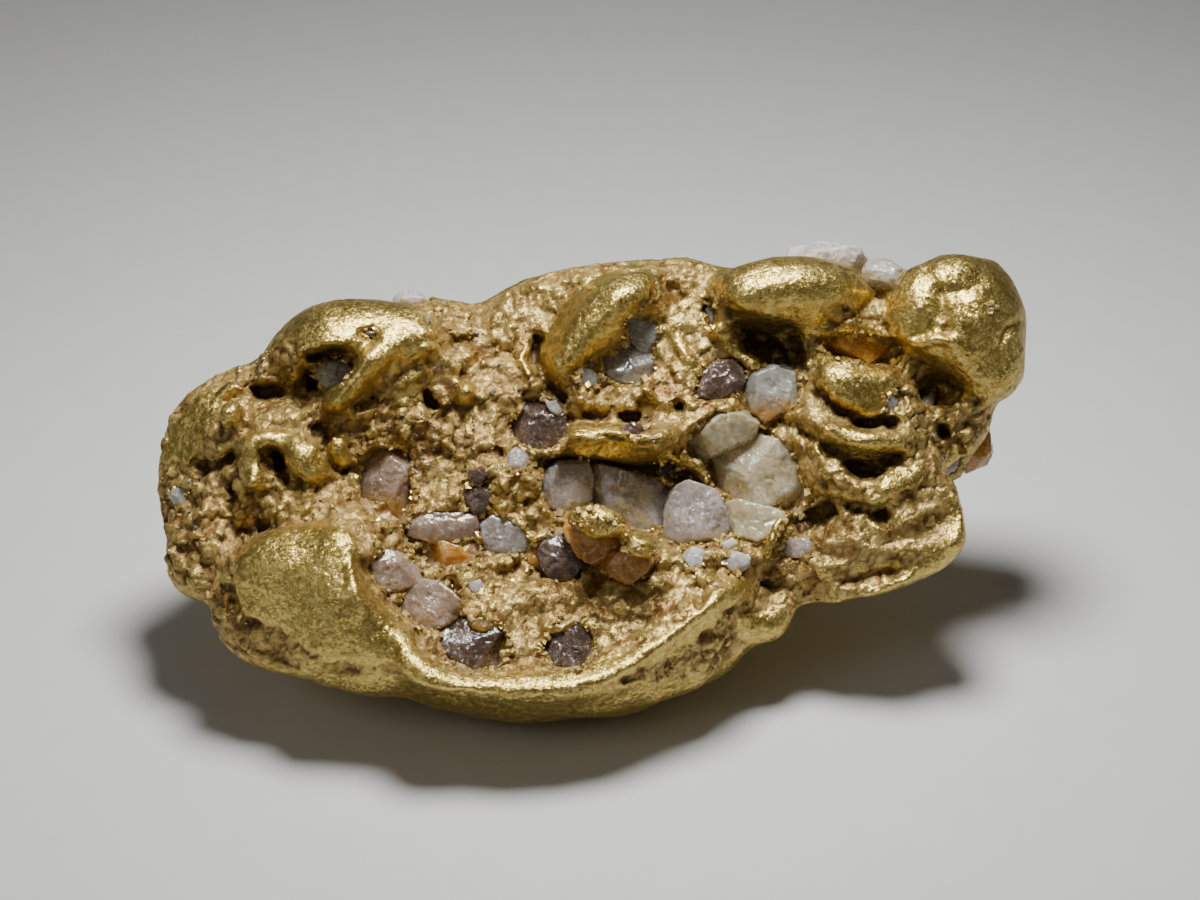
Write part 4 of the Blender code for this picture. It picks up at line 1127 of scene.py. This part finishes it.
fused_gold, fused_tris = fused([(skin, skin_faces), crumbs] + beads, SECOND_VOXEL)
gold, gold_tris = biggest_island(fused_gold, fused_tris)
print("fused:", len(fused_tris), "triangles, of which loose:", len(fused_tris) - len(gold_tris))
gold_edges = edges_of(gold_tris)
gold = relaxed(gold, gold_edges, 2, 0.4)
worn = worn_map(gold, gold_tris, gold_edges)
gold, gold_tris = thinned(gold, gold_tris, 0.15 + 0.85 * worn, GOLD_LIMIT)
gold_edges = edges_of(gold_tris)
worn = worn_map(gold, gold_tris, gold_edges)
rough = 1.0 - worn
out, _ = facing(gold, gold_tris, gold_edges)

height = DENT_HEIGHT * rough_noise(gold, 0.75, 2, 3) * worn
height += SMALL_DENT_HEIGHT * rough_noise(gold, 0.26, 2, 5) * worn
height -= SCAR_DEPTH * ramp(creased_noise(gold, 1.3, 1, 19), 0.55, 0.62) * worn
calm = calm_map(in_picture(gold))
bent = gold + 0.05 * noise_vector(gold, 0.16, 94)
lumps, cracks, tone = blocks(bent, LUMP_SIZE, 21)
billows = SMALL_BILLOW_HEIGHT * creased_noise(gold, 0.10, 1, 10)
billows -= BILLOW_HEIGHT * creased_noise(bent, 0.24, 1, 9)
height += rough * (1.0 - 0.4 * calm) * (LUMP_HEIGHT * lumps + billows)
beside_edge_grains = ramp(nearest_block(gold, edge_hulls), 0.0, 0.10)
gold = gold + normals_of(gold, gold_tris) * (height * beside_edge_grains)[:, None]
gold = without_spikes(gold, gold_edges)
print("second skin:", len(gold), "points,", len(gold_tris), "triangles")

# %% Measure what the finish needs
normals = normals_of(gold, gold_tris)
stands_out = np.sum((gold - relaxed(gold, gold_edges, 24)) * normals, axis=1)
edge_wear = np.sum((gold - relaxed(gold, gold_edges, 4)) * normals, axis=1)
# Painted light: how far a point lies under a grain, where the finish paints the gold pale as if lit through it.
under_quartz = np.clip(pockets(gold) / POCKET_DEPTH, 0.0, 1.0)
# Painted shade: how deep a point lies in a drawn hole or crack; the finish paints these places dark.
hole_shade = ramp(-relief(gold), 0.06, 0.34) * ramp(out, *FACES_OUT)
print("the gold stands out by", stands_out.min().round(2), "to", stands_out.max().round(2), "mm")

# %% [markdown]
# ## Shader maths as plain expressions
#
# A finish is a sum of a few patterns. Written as nodes and wires, it is hard to read. So one class stands for
# an output of a node, and adds a Math node when it meets +, - or *. Then a pattern reads like arithmetic.

# %% Finish and Link


class Link:
    """One output of a shader node. Arithmetic on it adds Math nodes."""

    def __init__(self, finish, socket):
        self.finish = finish
        self.socket = socket

    def maths(self, operation, first, second=0.0, clamp=False):
        """A Math node on two numbers or links."""
        settings = {"operation": operation, "use_clamp": clamp}
        return self.finish.node("ShaderNodeMath", settings, {0: first, 1: second})

    def __add__(self, other):
        return self.maths("ADD", self, other)

    def __sub__(self, other):
        return self.maths("SUBTRACT", self, other)

    def __rsub__(self, other):
        return self.maths("SUBTRACT", other, self)

    def __mul__(self, other):
        return self.maths("MULTIPLY", self, other)

    __radd__ = __add__
    __rmul__ = __mul__

    def clamped(self):
        """The same, cut off below 0 and above 1."""
        return self.maths("ADD", self, 0.0, clamp=True)

    def step(self, low, high):
        """0 below low, 1 above high, smooth between."""
        settings = {"interpolation_type": "SMOOTHSTEP"}
        return self.finish.node("ShaderNodeMapRange", settings, {0: self, 1: low, 2: high})


class Finish:
    """A material made by code: patterns in, one Principled shader out."""

    def __init__(self, name, **constants):
        self.material = bpy.data.materials.new(name)
        self.material.use_nodes = True
        self.tree = self.material.node_tree
        self.shader = self.tree.nodes["Principled BSDF"]
        self.place = self.node("ShaderNodeTexCoord", output="Object")
        for socket, value in constants.items():
            self.shader.inputs[socket.replace("_", " ")].default_value = value

    def node(self, kind, settings=None, inputs=None, output=0):
        """Adds a node: its settings first, then the values or links of its sockets."""
        node = self.tree.nodes.new(kind)
        for key, value in (settings or {}).items():
            setattr(node, key, value)
        for key, value in (inputs or {}).items():
            self.plug(node.inputs[key], value)
        return Link(self, node.outputs[output])

    def plug(self, socket, value):
        """Wires a link to a socket, or sets a plain value in it."""
        if isinstance(value, Link):
            self.tree.links.new(value.socket, socket)
        else:
            socket.default_value = value

    def feed(self, **sockets):
        """Gives the shader's sockets their values or links, with _ for a space in a name."""
        for name, value in sockets.items():
            self.plug(self.shader.inputs[name.replace("_", " ")], value)

    def noise(self, size_mm, detail=3.0, roughness=0.55):
        """Soft noise whose features are about this many millimetres."""
        scale = 1.0 / (size_mm * MM)
        inputs = {"Vector": self.place, "Scale": scale, "Detail": detail, "Roughness": roughness}
        return self.node("ShaderNodeTexNoise", {}, inputs)

    def facets(self, size_mm):
        """Flat slanting chips: in each cell the height grows evenly in a direction of that cell's own."""
        scale = 1.0 / (size_mm * MM)
        cell = {"Vector": self.place, "Scale": scale}
        middle = self.node("ShaderNodeTexVoronoi", {"feature": "F1"}, cell, "Position")
        chosen = self.node("ShaderNodeTexVoronoi", {"feature": "F1"}, cell, "Color")
        offset = self.node("ShaderNodeVectorMath", {"operation": "SUBTRACT"}, {0: self.place, 1: middle})
        way = self.node("ShaderNodeVectorMath", {"operation": "SUBTRACT"}, {0: chosen, 1: (0.5, 0.5, 0.5)})
        rise = self.node("ShaderNodeVectorMath", {"operation": "DOT_PRODUCT"}, {0: offset, 1: way}, "Value")
        return rise * scale

    def value(self, attribute):
        """A number that the mesh carries at each point."""
        return self.node("ShaderNodeAttribute", {"attribute_name": attribute}, output="Fac")

    def mix(self, amount, first, second):
        """A colour between two others."""
        return self.node("ShaderNodeMix", {"data_type": "RGBA"}, {0: amount, 6: first, 7: second}, output=2)

    def bump(self, height, depth_mm, under=None):
        """A normal tilted as if the surface rose by height times this depth, over another bump if given."""
        inputs = {"Height": height, "Distance": depth_mm * MM, "Strength": 1.0}
        if under is not None:
            inputs["Normal"] = under
        return self.node("ShaderNodeBump", {}, inputs, "Normal")


def colour(red, green, blue):
    """A colour that hides what is behind it, in linear light."""
    return (red, green, blue, 1.0)


print("finishes are ready to be made")

# %% [markdown]
# ## The gold's finish
#
# Native gold is a soft yellow metal, brushed dull by sand, so it is metallic with a middling roughness and a
# fine hammered sparkle. In the hollows a crust of iron oxide, from ochre to dark brown, covers it and is not
# metallic. Its dark brown in recesses, cracks and drawn holes is partly painted shade, and under each grain
# the gold is painted pale, as painted light through the quartz. The mesh says where: how worn each point
# is, how far it stands out, and a tone for each crumb.

# %% Gold, its iron stain, painted shade and painted light
OLIVE, LIGHT_OLIVE = colour(0.37, 0.250, 0.058), colour(0.52, 0.375, 0.100)
BRIGHT_GOLD = colour(0.70, 0.540, 0.180)
BUFF = colour(0.31, 0.192, 0.055)
PALE_BUFF, DULL_BUFF = colour(0.72, 0.530, 0.195), colour(0.64, 0.440, 0.150)
OCHRE = colour(0.22, 0.118, 0.030)
# Iron dirt in the crevices, and painted shade there as well.
CREVICE_DIRT_AND_SHADE = colour(0.060, 0.030, 0.009)
# Painted light: the pale colour of the gold under the grains.
PAINTED_LIGHT_UNDER_GRAINS = colour(0.60, 0.44, 0.24)


def gold_finish():
    """How bare the metal is, from 0 to 1, decides between the brushed gold and the crust, which goes from
    buff through ochre to dark brown in the cracks: iron dirt, and also painted shade in recesses, cracks and
    drawn holes. Under the grains the gold is painted pale, as painted light through the quartz."""
    finish = Finish("native gold", Specular_IOR_Level=0.4)
    worn_here = finish.value("worn")
    stands = finish.value("stands_out")
    edges = finish.value("edge_wear")
    crumb_tone = finish.value("tone")
    mottle = finish.noise(1.3, 4.0)
    grain = finish.noise(0.13)
    sparkle = finish.noise(0.040, 2.0, 0.7)
    patches = finish.noise(0.45)
    hole_shade_here = finish.value("hole_shade")
    rough_here = 1.0 - worn_here
    matte = finish.value("crumbly") * rough_here

    bare = worn_here * 0.45 + stands * 0.55 + edges * 0.45 + crumb_tone * 0.12 + mottle * 0.4 - 0.56
    bare = bare.step(0.12, 0.52)
    olive = finish.mix(mottle.step(0.35, 0.65), OLIVE, LIGHT_OLIVE)
    gold = finish.mix((grain * 0.6 + sparkle * 0.4).step(0.42, 0.62), olive, BRIGHT_GOLD)
    pale_buff = finish.mix(matte.step(0.05, 0.60), PALE_BUFF, DULL_BUFF)
    buff = finish.mix(crumb_tone * 0.4 + grain * 0.6, BUFF, pale_buff)
    stained = finish.mix(patches.step(0.38, 0.56), OCHRE, buff)
    # Painted shade, partly real iron dirt: the crust darkens to brown in recesses, cracks and drawn holes.
    dirt_and_shade = ((1.0 - stands.step(0.06, 0.46)) + finish.value("cracks") * 0.5 + hole_shade_here).clamped()
    crust = finish.mix(dirt_and_shade * 0.92, stained, CREVICE_DIRT_AND_SHADE)
    # Painted light: under a grain the crust gives way to a pale floor, as if lit through the quartz.
    ground = finish.mix(finish.value("under_quartz"), crust, PAINTED_LIGHT_UNDER_GRAINS)
    # Painted shade: in the drawn holes the bare gold gives way to the dark crust.
    finish.feed(
        Base_Color=finish.mix(bare * (1.0 - hole_shade_here * 0.8) * (1.0 - matte * 0.25), ground, gold),
        Metallic=(0.66 + bare * 0.34) * (1.0 - matte * 0.22),
        Roughness=0.49 - bare * 0.09 + matte * 0.06 + (sparkle - 0.5) * 0.36,
    )
    dents = finish.bump(finish.noise(0.24), 0.04)
    broken = finish.bump(finish.facets(0.12) * rough_here, 0.040, dents)
    grit = finish.bump(grain, 0.025, broken)
    finish.feed(Normal=finish.bump(finish.facets(0.045), 0.012, grit))
    return finish.material


def add_piece(name, points, faces, material, values=None, smooth=True):
    """Puts arrays into the scene as one object in metres, with its numbers for each point."""
    mesh = mesh_of(points * MM, faces, name)
    for attribute, numbers in (values or {}).items():
        layer = mesh.attributes.new(attribute, "FLOAT", "POINT")
        layer.data.foreach_set("value", np.asarray(numbers, np.float32))
    if smooth:
        mesh.shade_smooth()
    mesh.materials.append(material)
    piece = bpy.data.objects.new(name, mesh)
    bpy.context.scene.collection.objects.link(piece)
    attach(piece, "root")
    return piece


# What the finish tells apart, from lowest to highest.
STANDS_OUT_RANGE, EDGE_WEAR_RANGE = 0.36, 0.06       # mm

gold_piece = add_piece("native_gold", gold, gold_tris, gold_finish(), {
    "worn": worn,
    "stands_out": np.clip(0.5 + stands_out / STANDS_OUT_RANGE, 0.0, 1.0),
    "edge_wear": np.clip(0.5 + edge_wear / EDGE_WEAR_RANGE, 0.0, 1.0),
    "tone": tone,
    "cracks": cracks * rough,
    "under_quartz": under_quartz,
    "hole_shade": hole_shade,
    "crumbly": crumbly_ground(gold, calm),
})
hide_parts("gold")
print("gold placed,", len(gold_tris), "triangles")

# %% [markdown]
# ## Broken quartz
#
# Seen from its middle, the surface of a block of planes in any direction is where the nearest plane is met:
# r = min of d / (n . way). A few more planes chip its corners, and stepped noise gives the broken faces their
# curved ledges. All of it is one formula on a ball.

# %% Chip the grains
CHIP_REACH = (0.90, 1.04)    # a chip's plane, as a share of how far the block reaches in its direction
SHARPNESS = 200.0
SWELL = 0.010            # mm, makes good what the softening takes off
STEP_SIZE, SUGAR_SIZE = 0.34, 0.10   # mm
NO_CRACK = 0.0001


def quartz_surface(hull, chance, rings, spokes, chip_count=8, step_height=0.040):
    """Ball directions pushed out to the nearest of the block's planes and of its chips, with stepped faces.
    The nearest is softened, min -> -log(sum(exp(-s * d))) / s, so that corners aren't razor sharp."""
    ways, faces = unit_ball(rings, spokes)
    normals, distances, middle = hull
    chips = chance.normal(size=(chip_count, 3))
    chips /= np.linalg.norm(chips, axis=1, keepdims=True)
    spread = chips @ normals.T
    reach = np.min(np.where(spread > 0.05, distances / np.maximum(spread, 0.05), 9.0), axis=1)
    chip_distances = reach * chance.uniform(*CHIP_REACH, len(chips))
    all_normals = np.concatenate([normals, chips])
    all_distances = np.concatenate([distances, chip_distances])
    meeting = ways @ all_normals.T
    meets = np.where(meeting > 0.03, all_distances / np.maximum(meeting, 0.03), 99.0)
    nearest = meets.min(axis=1, keepdims=True)
    sharpness = SHARPNESS / distances.mean()
    radius = nearest[:, 0] - np.log(np.exp(-sharpness * (meets - nearest)).sum(axis=1)) / sharpness
    points = middle + ways * (radius + SWELL)[:, None]
    salt = int(chance.integers(1000))
    broken, _, _ = blocks(points, STEP_SIZE, salt, NO_CRACK, 0.0)
    sugar = ramp(noise(points, 0.30, salt + 50), -0.1, 0.3)
    fine, _, _ = blocks(points, SUGAR_SIZE, salt + 20, NO_CRACK, 0.0)
    points += ways * (step_height * (0.6 * broken + 0.4 * fine * sugar))[:, None]
    return points, faces


# Each kind: its body colour, the colour it lets through and how strongly (per mm), its clearness and its
# roughness.
QUARTZ_KINDS = {
    "quartz_pale": (colour(0.92, 0.79, 0.49), colour(0.84, 0.70, 0.42), 0.10, 0.45, 0.12),
    "quartz_violet": (colour(0.80, 0.69, 0.63), colour(0.64, 0.50, 0.45), 0.13, 0.50, 0.12),
    "quartz_smoky": (colour(0.66, 0.46, 0.32), colour(0.58, 0.36, 0.22), 0.20, 0.50, 0.12),
    "quartz_dark": (colour(0.19, 0.115, 0.080), colour(0.28, 0.16, 0.12), 0.60, 0.55, 0.10),
    "quartz_grey": (colour(0.73, 0.70, 0.61), colour(0.68, 0.66, 0.57), 0.17, 0.45, 0.14),
    "quartz_amber": (colour(0.98, 0.43, 0.07), colour(0.96, 0.52, 0.12), 0.15, 0.45, 0.10),
    "quartz_milky": (colour(0.60, 0.53, 0.48), colour(0.80, 0.76, 0.74), 0.15, 0.20, 0.40),
}
AMBER_STAIN = colour(0.50, 0.27, 0.07)
QUARTZ_IOR = 1.544


def quartz_finish(kind):
    """Part clear and part cloudy: frosted veils are paler and rougher, and iron stains one end."""
    body, let_through, strength, clearness, roughness = QUARTZ_KINDS[kind]
    coat = 0.2 if kind == "quartz_milky" else 0.7
    finish = Finish(kind, IOR=QUARTZ_IOR, Transmission_Weight=clearness,
                    Coat_Weight=coat, Coat_Roughness=0.05,
                    Subsurface_Weight=0.7, Subsurface_Scale=0.30 * MM, Subsurface_Radius=(1.0, 0.8, 0.55))
    cloud = finish.noise(0.40, 4.0)
    veil = finish.noise(0.10, 4.0, 0.75)
    frost = (cloud * 0.65 + veil * 0.35).step(0.42, 0.60)
    dim = colour(*(channel * 0.70 for channel in body[:3]))
    pale = colour(*(channel ** 0.72 for channel in body[:3]))
    stain = (finish.value("stain") * 1.2 + cloud * 0.6 - 0.75).step(0.1, 0.5)
    finish.feed(
        Base_Color=finish.mix(stain, finish.mix(frost * 0.85, dim, pale), AMBER_STAIN),
        Roughness=roughness + frost * 0.25,
    )
    chips = finish.bump(finish.facets(0.20), 0.045)
    finish.feed(Normal=finish.bump(finish.facets(0.045) * frost, 0.030, chips))
    inside = finish.node("ShaderNodeVolumeAbsorption", {}, {"Color": let_through, "Density": strength / MM})
    finish.plug(finish.tree.nodes["Material Output"].inputs["Volume"], inside)
    return finish.material


# How much iron has soaked into each grain from below, from 0 to 1.
LITTLE_STAIN = 0.15
STAINED = {
    "quartz_clear_round": 1.0, "quartz_smoky_left": 1.0, "quartz_lilac_left": 0.9, "quartz_smoky_brown": 0.7,
    "quartz_violet_right": 0.7, "quartz_violet_left": 0.4, "quartz_dark_crystal": 0.5,
    "quartz_pale_lower": 0.3, "quartz_lilac_right": 0.4, "quartz_smoky_low": 0.3,
    "quartz_top_crest": 0.9, "quartz_top_patch": 0.8, "quartz_top_left": 0.9,
}


def stain_of(points, strength):
    """Iron soaks in from the lower edge: strength times how low a point lies in its grain, from 0 to 1."""
    up = to_face(points)[:, 1]
    return strength * (up.max() - up) / (up.max() - up.min())


slot_of = {part["node"]: part["material_slot"] for part in frame["record"]["subparts"]}
quartz_finishes = {kind: quartz_finish(kind) for kind in QUARTZ_KINDS}
for number, name in enumerate(QUARTZ):
    block = grain_planes.get(name, HULLS[name])
    shape = quartz_surface(block, np.random.default_rng(100 + number), 66, 98)
    stain = stain_of(shape[0], STAINED.get(name, LITTLE_STAIN))
    slot = slot_of[name]
    piece = add_piece(name.replace("quartz", "grain"), *shape, quartz_finishes[slot], {"stain": stain})
    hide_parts(name)
print("quartz grains:", len(QUARTZ))

# %% Small quartz grains
by_kind = {}
for number, (name, (_, kind)) in enumerate(SMALL_GRAINS.items()):
    chance = np.random.default_rng(300 + number)
    shape = quartz_surface(grain_planes[name], chance, 26, 38, 10, 0.018)
    by_kind.setdefault(kind, []).append(shape)
for kind, shapes in by_kind.items():
    piece = add_piece(kind.replace("quartz", "small"), *stack(shapes), quartz_finishes[kind])
print("small quartz grains:", len(SMALL_GRAINS))

# %% [markdown]
# ## Loose crust
#
# On the fused ground lie crumbs with sharp edges of their own, and grit: grains of dark iron ore and of grey
# sugary quartz. Each is set on the gold's nearest surface, so that none hangs in the air. Every sort is one
# mesh, with a tone for each of its bits.

# %% Scatter the loose crumbs


def crust_finish():
    """Buff crumbs, some of them gilt: the higher a crumb's tone, the more bare gold it shows."""
    finish = Finish("iron-stained crumbs", Specular_IOR_Level=0.4)
    crumb_tone = finish.value("tone")
    grain = finish.noise(0.08)
    gilt = (crumb_tone + grain * 0.4 - 0.2).step(0.45, 0.75)
    buff = finish.mix(crumb_tone * 2.0, colour(0.28, 0.185, 0.065), colour(0.54, 0.40, 0.16))
    finish.feed(
        Base_Color=finish.mix(gilt, buff, colour(0.72, 0.53, 0.18)),
        Metallic=0.3 + gilt * 0.7,
        Roughness=0.62 - gilt * 0.24,
    )
    finish.feed(Normal=finish.bump(grain, 0.02))
    return finish.material


gold_tree = BVHTree.FromPolygons(gold.tolist(), gold_tris.tolist())


def add_bits(name, middles, sizes, material, chance, stand):
    """One mesh of bits. Each is on the gold's nearest surface, with its middle higher or lower by a share of
    its size between these two, and has its own tone."""
    nearest = [gold_tree.find_nearest(Vector(middle))[:2] for middle in middles]
    spots, ways = (np.array([found[i] for found in nearest]) for i in range(2))
    middles = spots + ways * (sizes * chance.uniform(*stand, len(middles)))[:, None]
    points, faces = broken_bits(middles, sizes, chance)
    tones = np.repeat(chance.random(len(middles)), len(CUBE))
    print(name + ":", len(middles))
    return add_piece(name, points, faces, material, {"tone": tones}, smooth=False)


chance = np.random.default_rng(23)
middles, _ = crumb_seeds(0.13, 0.28, 2, 0.5)
sizes = bit_sizes(0.024, 0.055, 2.2, len(middles), chance)
piece = add_bits("loose_crumbs", middles, sizes, crust_finish(), chance, (-0.6, 0.15))

# %% Lap the crust over the edges of the grains
LAP_SPACING, LAP_SHARE = 3.5, 0.7    # pixels between tries, and how many of the tries get a crumb
LAP_STRAY = 1.6          # pixels off the outline


def edge_places(chance, spacing, share):
    """Places along the grains' outlines where the crust laps over their edges, on the gold's surface."""
    places = []
    for outline in ALL_OUTLINES:
        corners = np.asarray(outline, float)
        legs = np.roll(corners, -1, axis=0) - corners
        for corner, leg in zip(corners, legs):
            for along in np.arange(0.0, 1.0, spacing / np.linalg.norm(leg)):
                pixel = corner + along * leg + chance.normal(scale=LAP_STRAY, size=2)
                spot = sight_hit(pixel, gold_tree)
                if spot is not None and chance.random() < share:
                    places.append(np.array(spot))
    return np.array(places)


places = edge_places(chance, LAP_SPACING, LAP_SHARE)
sizes = bit_sizes(0.040, 0.070, 2.0, len(places), chance)
piece = add_bits("edge_crumbs", places, sizes, crust_finish(), chance, (-0.2, 0.5))

# %% Scatter the grit


def grit_finish(name, dark, light):
    """Each grain between a dark and a light colour, by its tone."""
    finish = Finish(name, Specular_IOR_Level=0.5)
    grain = finish.noise(0.06)
    finish.feed(
        Base_Color=finish.mix(finish.value("tone"), dark, light),
        Roughness=0.25 + grain * 0.4,
    )
    finish.feed(Normal=finish.bump(grain, 0.02))
    return finish.material


# Seeds as for crumbs; the size, salt and lowest value of the soft noise that gathers it in patches; smallest
# size, spread and power; dark and light colour; slot.
GRITS = {
    "dark_grit": ((0.11, 0.50, 3, 0.5), (0.9, 51, 0.28), (0.018, 0.034, 2),
                  (colour(0.015, 0.010, 0.008), colour(0.12, 0.08, 0.06)), "quartz_dark"),
    "grey_grit": ((0.12, 0.40, 4, 0.5), (1.1, 53, 0.30), (0.025, 0.045, 1.5),
                  (colour(0.12, 0.10, 0.08), colour(0.36, 0.32, 0.26)), "quartz_grey"),
}
for name, (seeds, (patch_size, salt, lowest), spread, colours, slot) in GRITS.items():
    middles, _ = crumb_seeds(*seeds)
    middles = middles[noise(middles, patch_size, salt) > lowest]
    sizes = bit_sizes(*spread, len(middles), chance)
    finish = grit_finish(name.replace("_", " "), *colours)
    piece = add_bits(name, middles, sizes, finish, chance, (-0.5, 0.3))

# %% [markdown]
# ## Table, light and camera
#
# The nugget lies on a plain pale table. One soft light close above picks out the lobes, a broad weaker one
# from the left fills the shadows, and the camera looks down on the nugget by about thirty degrees.

# %% The table


def table_finish():
    """Pale matt plastic with the faintest speckle."""
    finish = Finish("table", Specular_IOR_Level=0.3)
    speckle = finish.noise(0.8)
    finish.feed(
        Base_Color=finish.mix(speckle, colour(0.60, 0.60, 0.59), colour(0.64, 0.64, 0.63)),
        Roughness=0.62 + speckle * 0.1,
    )
    return finish.material


TABLE_HALF = 400.0       # mm
corners = np.array([[-1, -1, 0], [1, -1, 0], [1, 1, 0], [-1, 1, 0]]) * TABLE_HALF
table = bpy.data.objects.new("table", mesh_of(corners * MM, np.array([[0, 1, 2, 3]]), "table"))
table.data.materials.append(table_finish())
bpy.context.scene.collection.objects.link(table)
table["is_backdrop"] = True
print("table", 2 * TABLE_HALF, "mm wide")

# %% The lights and the surroundings
LIT_SPOT = (0, 0, 0.003)     # m
SURROUNDINGS = 0.08          # brightness


def aimed(obj, place, target):
    """Puts a light or camera at a place and turns it towards a target."""
    obj.location = place
    way = Vector(target) - Vector(place)
    obj.rotation_mode = "QUATERNION"
    obj.rotation_quaternion = way.to_track_quat("-Z", "Y")


def add_light(name, place_mm, size_mm, watts):
    """A round soft light, aimed at the nugget."""
    lamp = bpy.data.lights.new(name, "AREA")
    lamp.shape = "DISK"
    lamp.size = size_mm * MM
    lamp.energy = watts
    obj = bpy.data.objects.new(name, lamp)
    bpy.context.scene.collection.objects.link(obj)
    aimed(obj, Vector(place_mm) * MM, LIT_SPOT)


add_light("softbox_above", (1, 3, 32), 12, 0.0188)
add_light("softbox_left", (-60, -45, 60), 40, 0.006)
world = bpy.data.worlds.new("studio")
world.use_nodes = True
background = world.node_tree.nodes["Background"]
background.inputs["Color"].default_value = colour(1.0, 0.97, 0.93)
background.inputs["Strength"].default_value = SURROUNDINGS
bpy.context.scene.world = world

# %% The camera
SENSOR_WIDTH = 36.0      # mm
camera = bpy.data.cameras.new("camera")
camera.sensor_width = SENSOR_WIDTH
camera.lens = SENSOR_WIDTH * CAMERA_DISTANCE * PIXELS_PER_MM / (2 * PICTURE_MIDDLE[0])
camera.clip_start = 0.001
camera.clip_end = 10.0
eye = bpy.data.objects.new("camera", camera)
bpy.context.scene.collection.objects.link(eye)
aimed(eye, CAMERA_PLACE * MM, FACE_MIDDLE * MM)
bpy.context.scene.camera = eye
print("lens", round(camera.lens, 1), "mm")

# %% The finished box
sizes = {"cad": [list(corner) for corner in cad_box], "visual": [list(corner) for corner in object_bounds()]}
print("finished box, in mm:", [[round(side / MM, 2) for side in corner] for corner in sizes["visual"]])
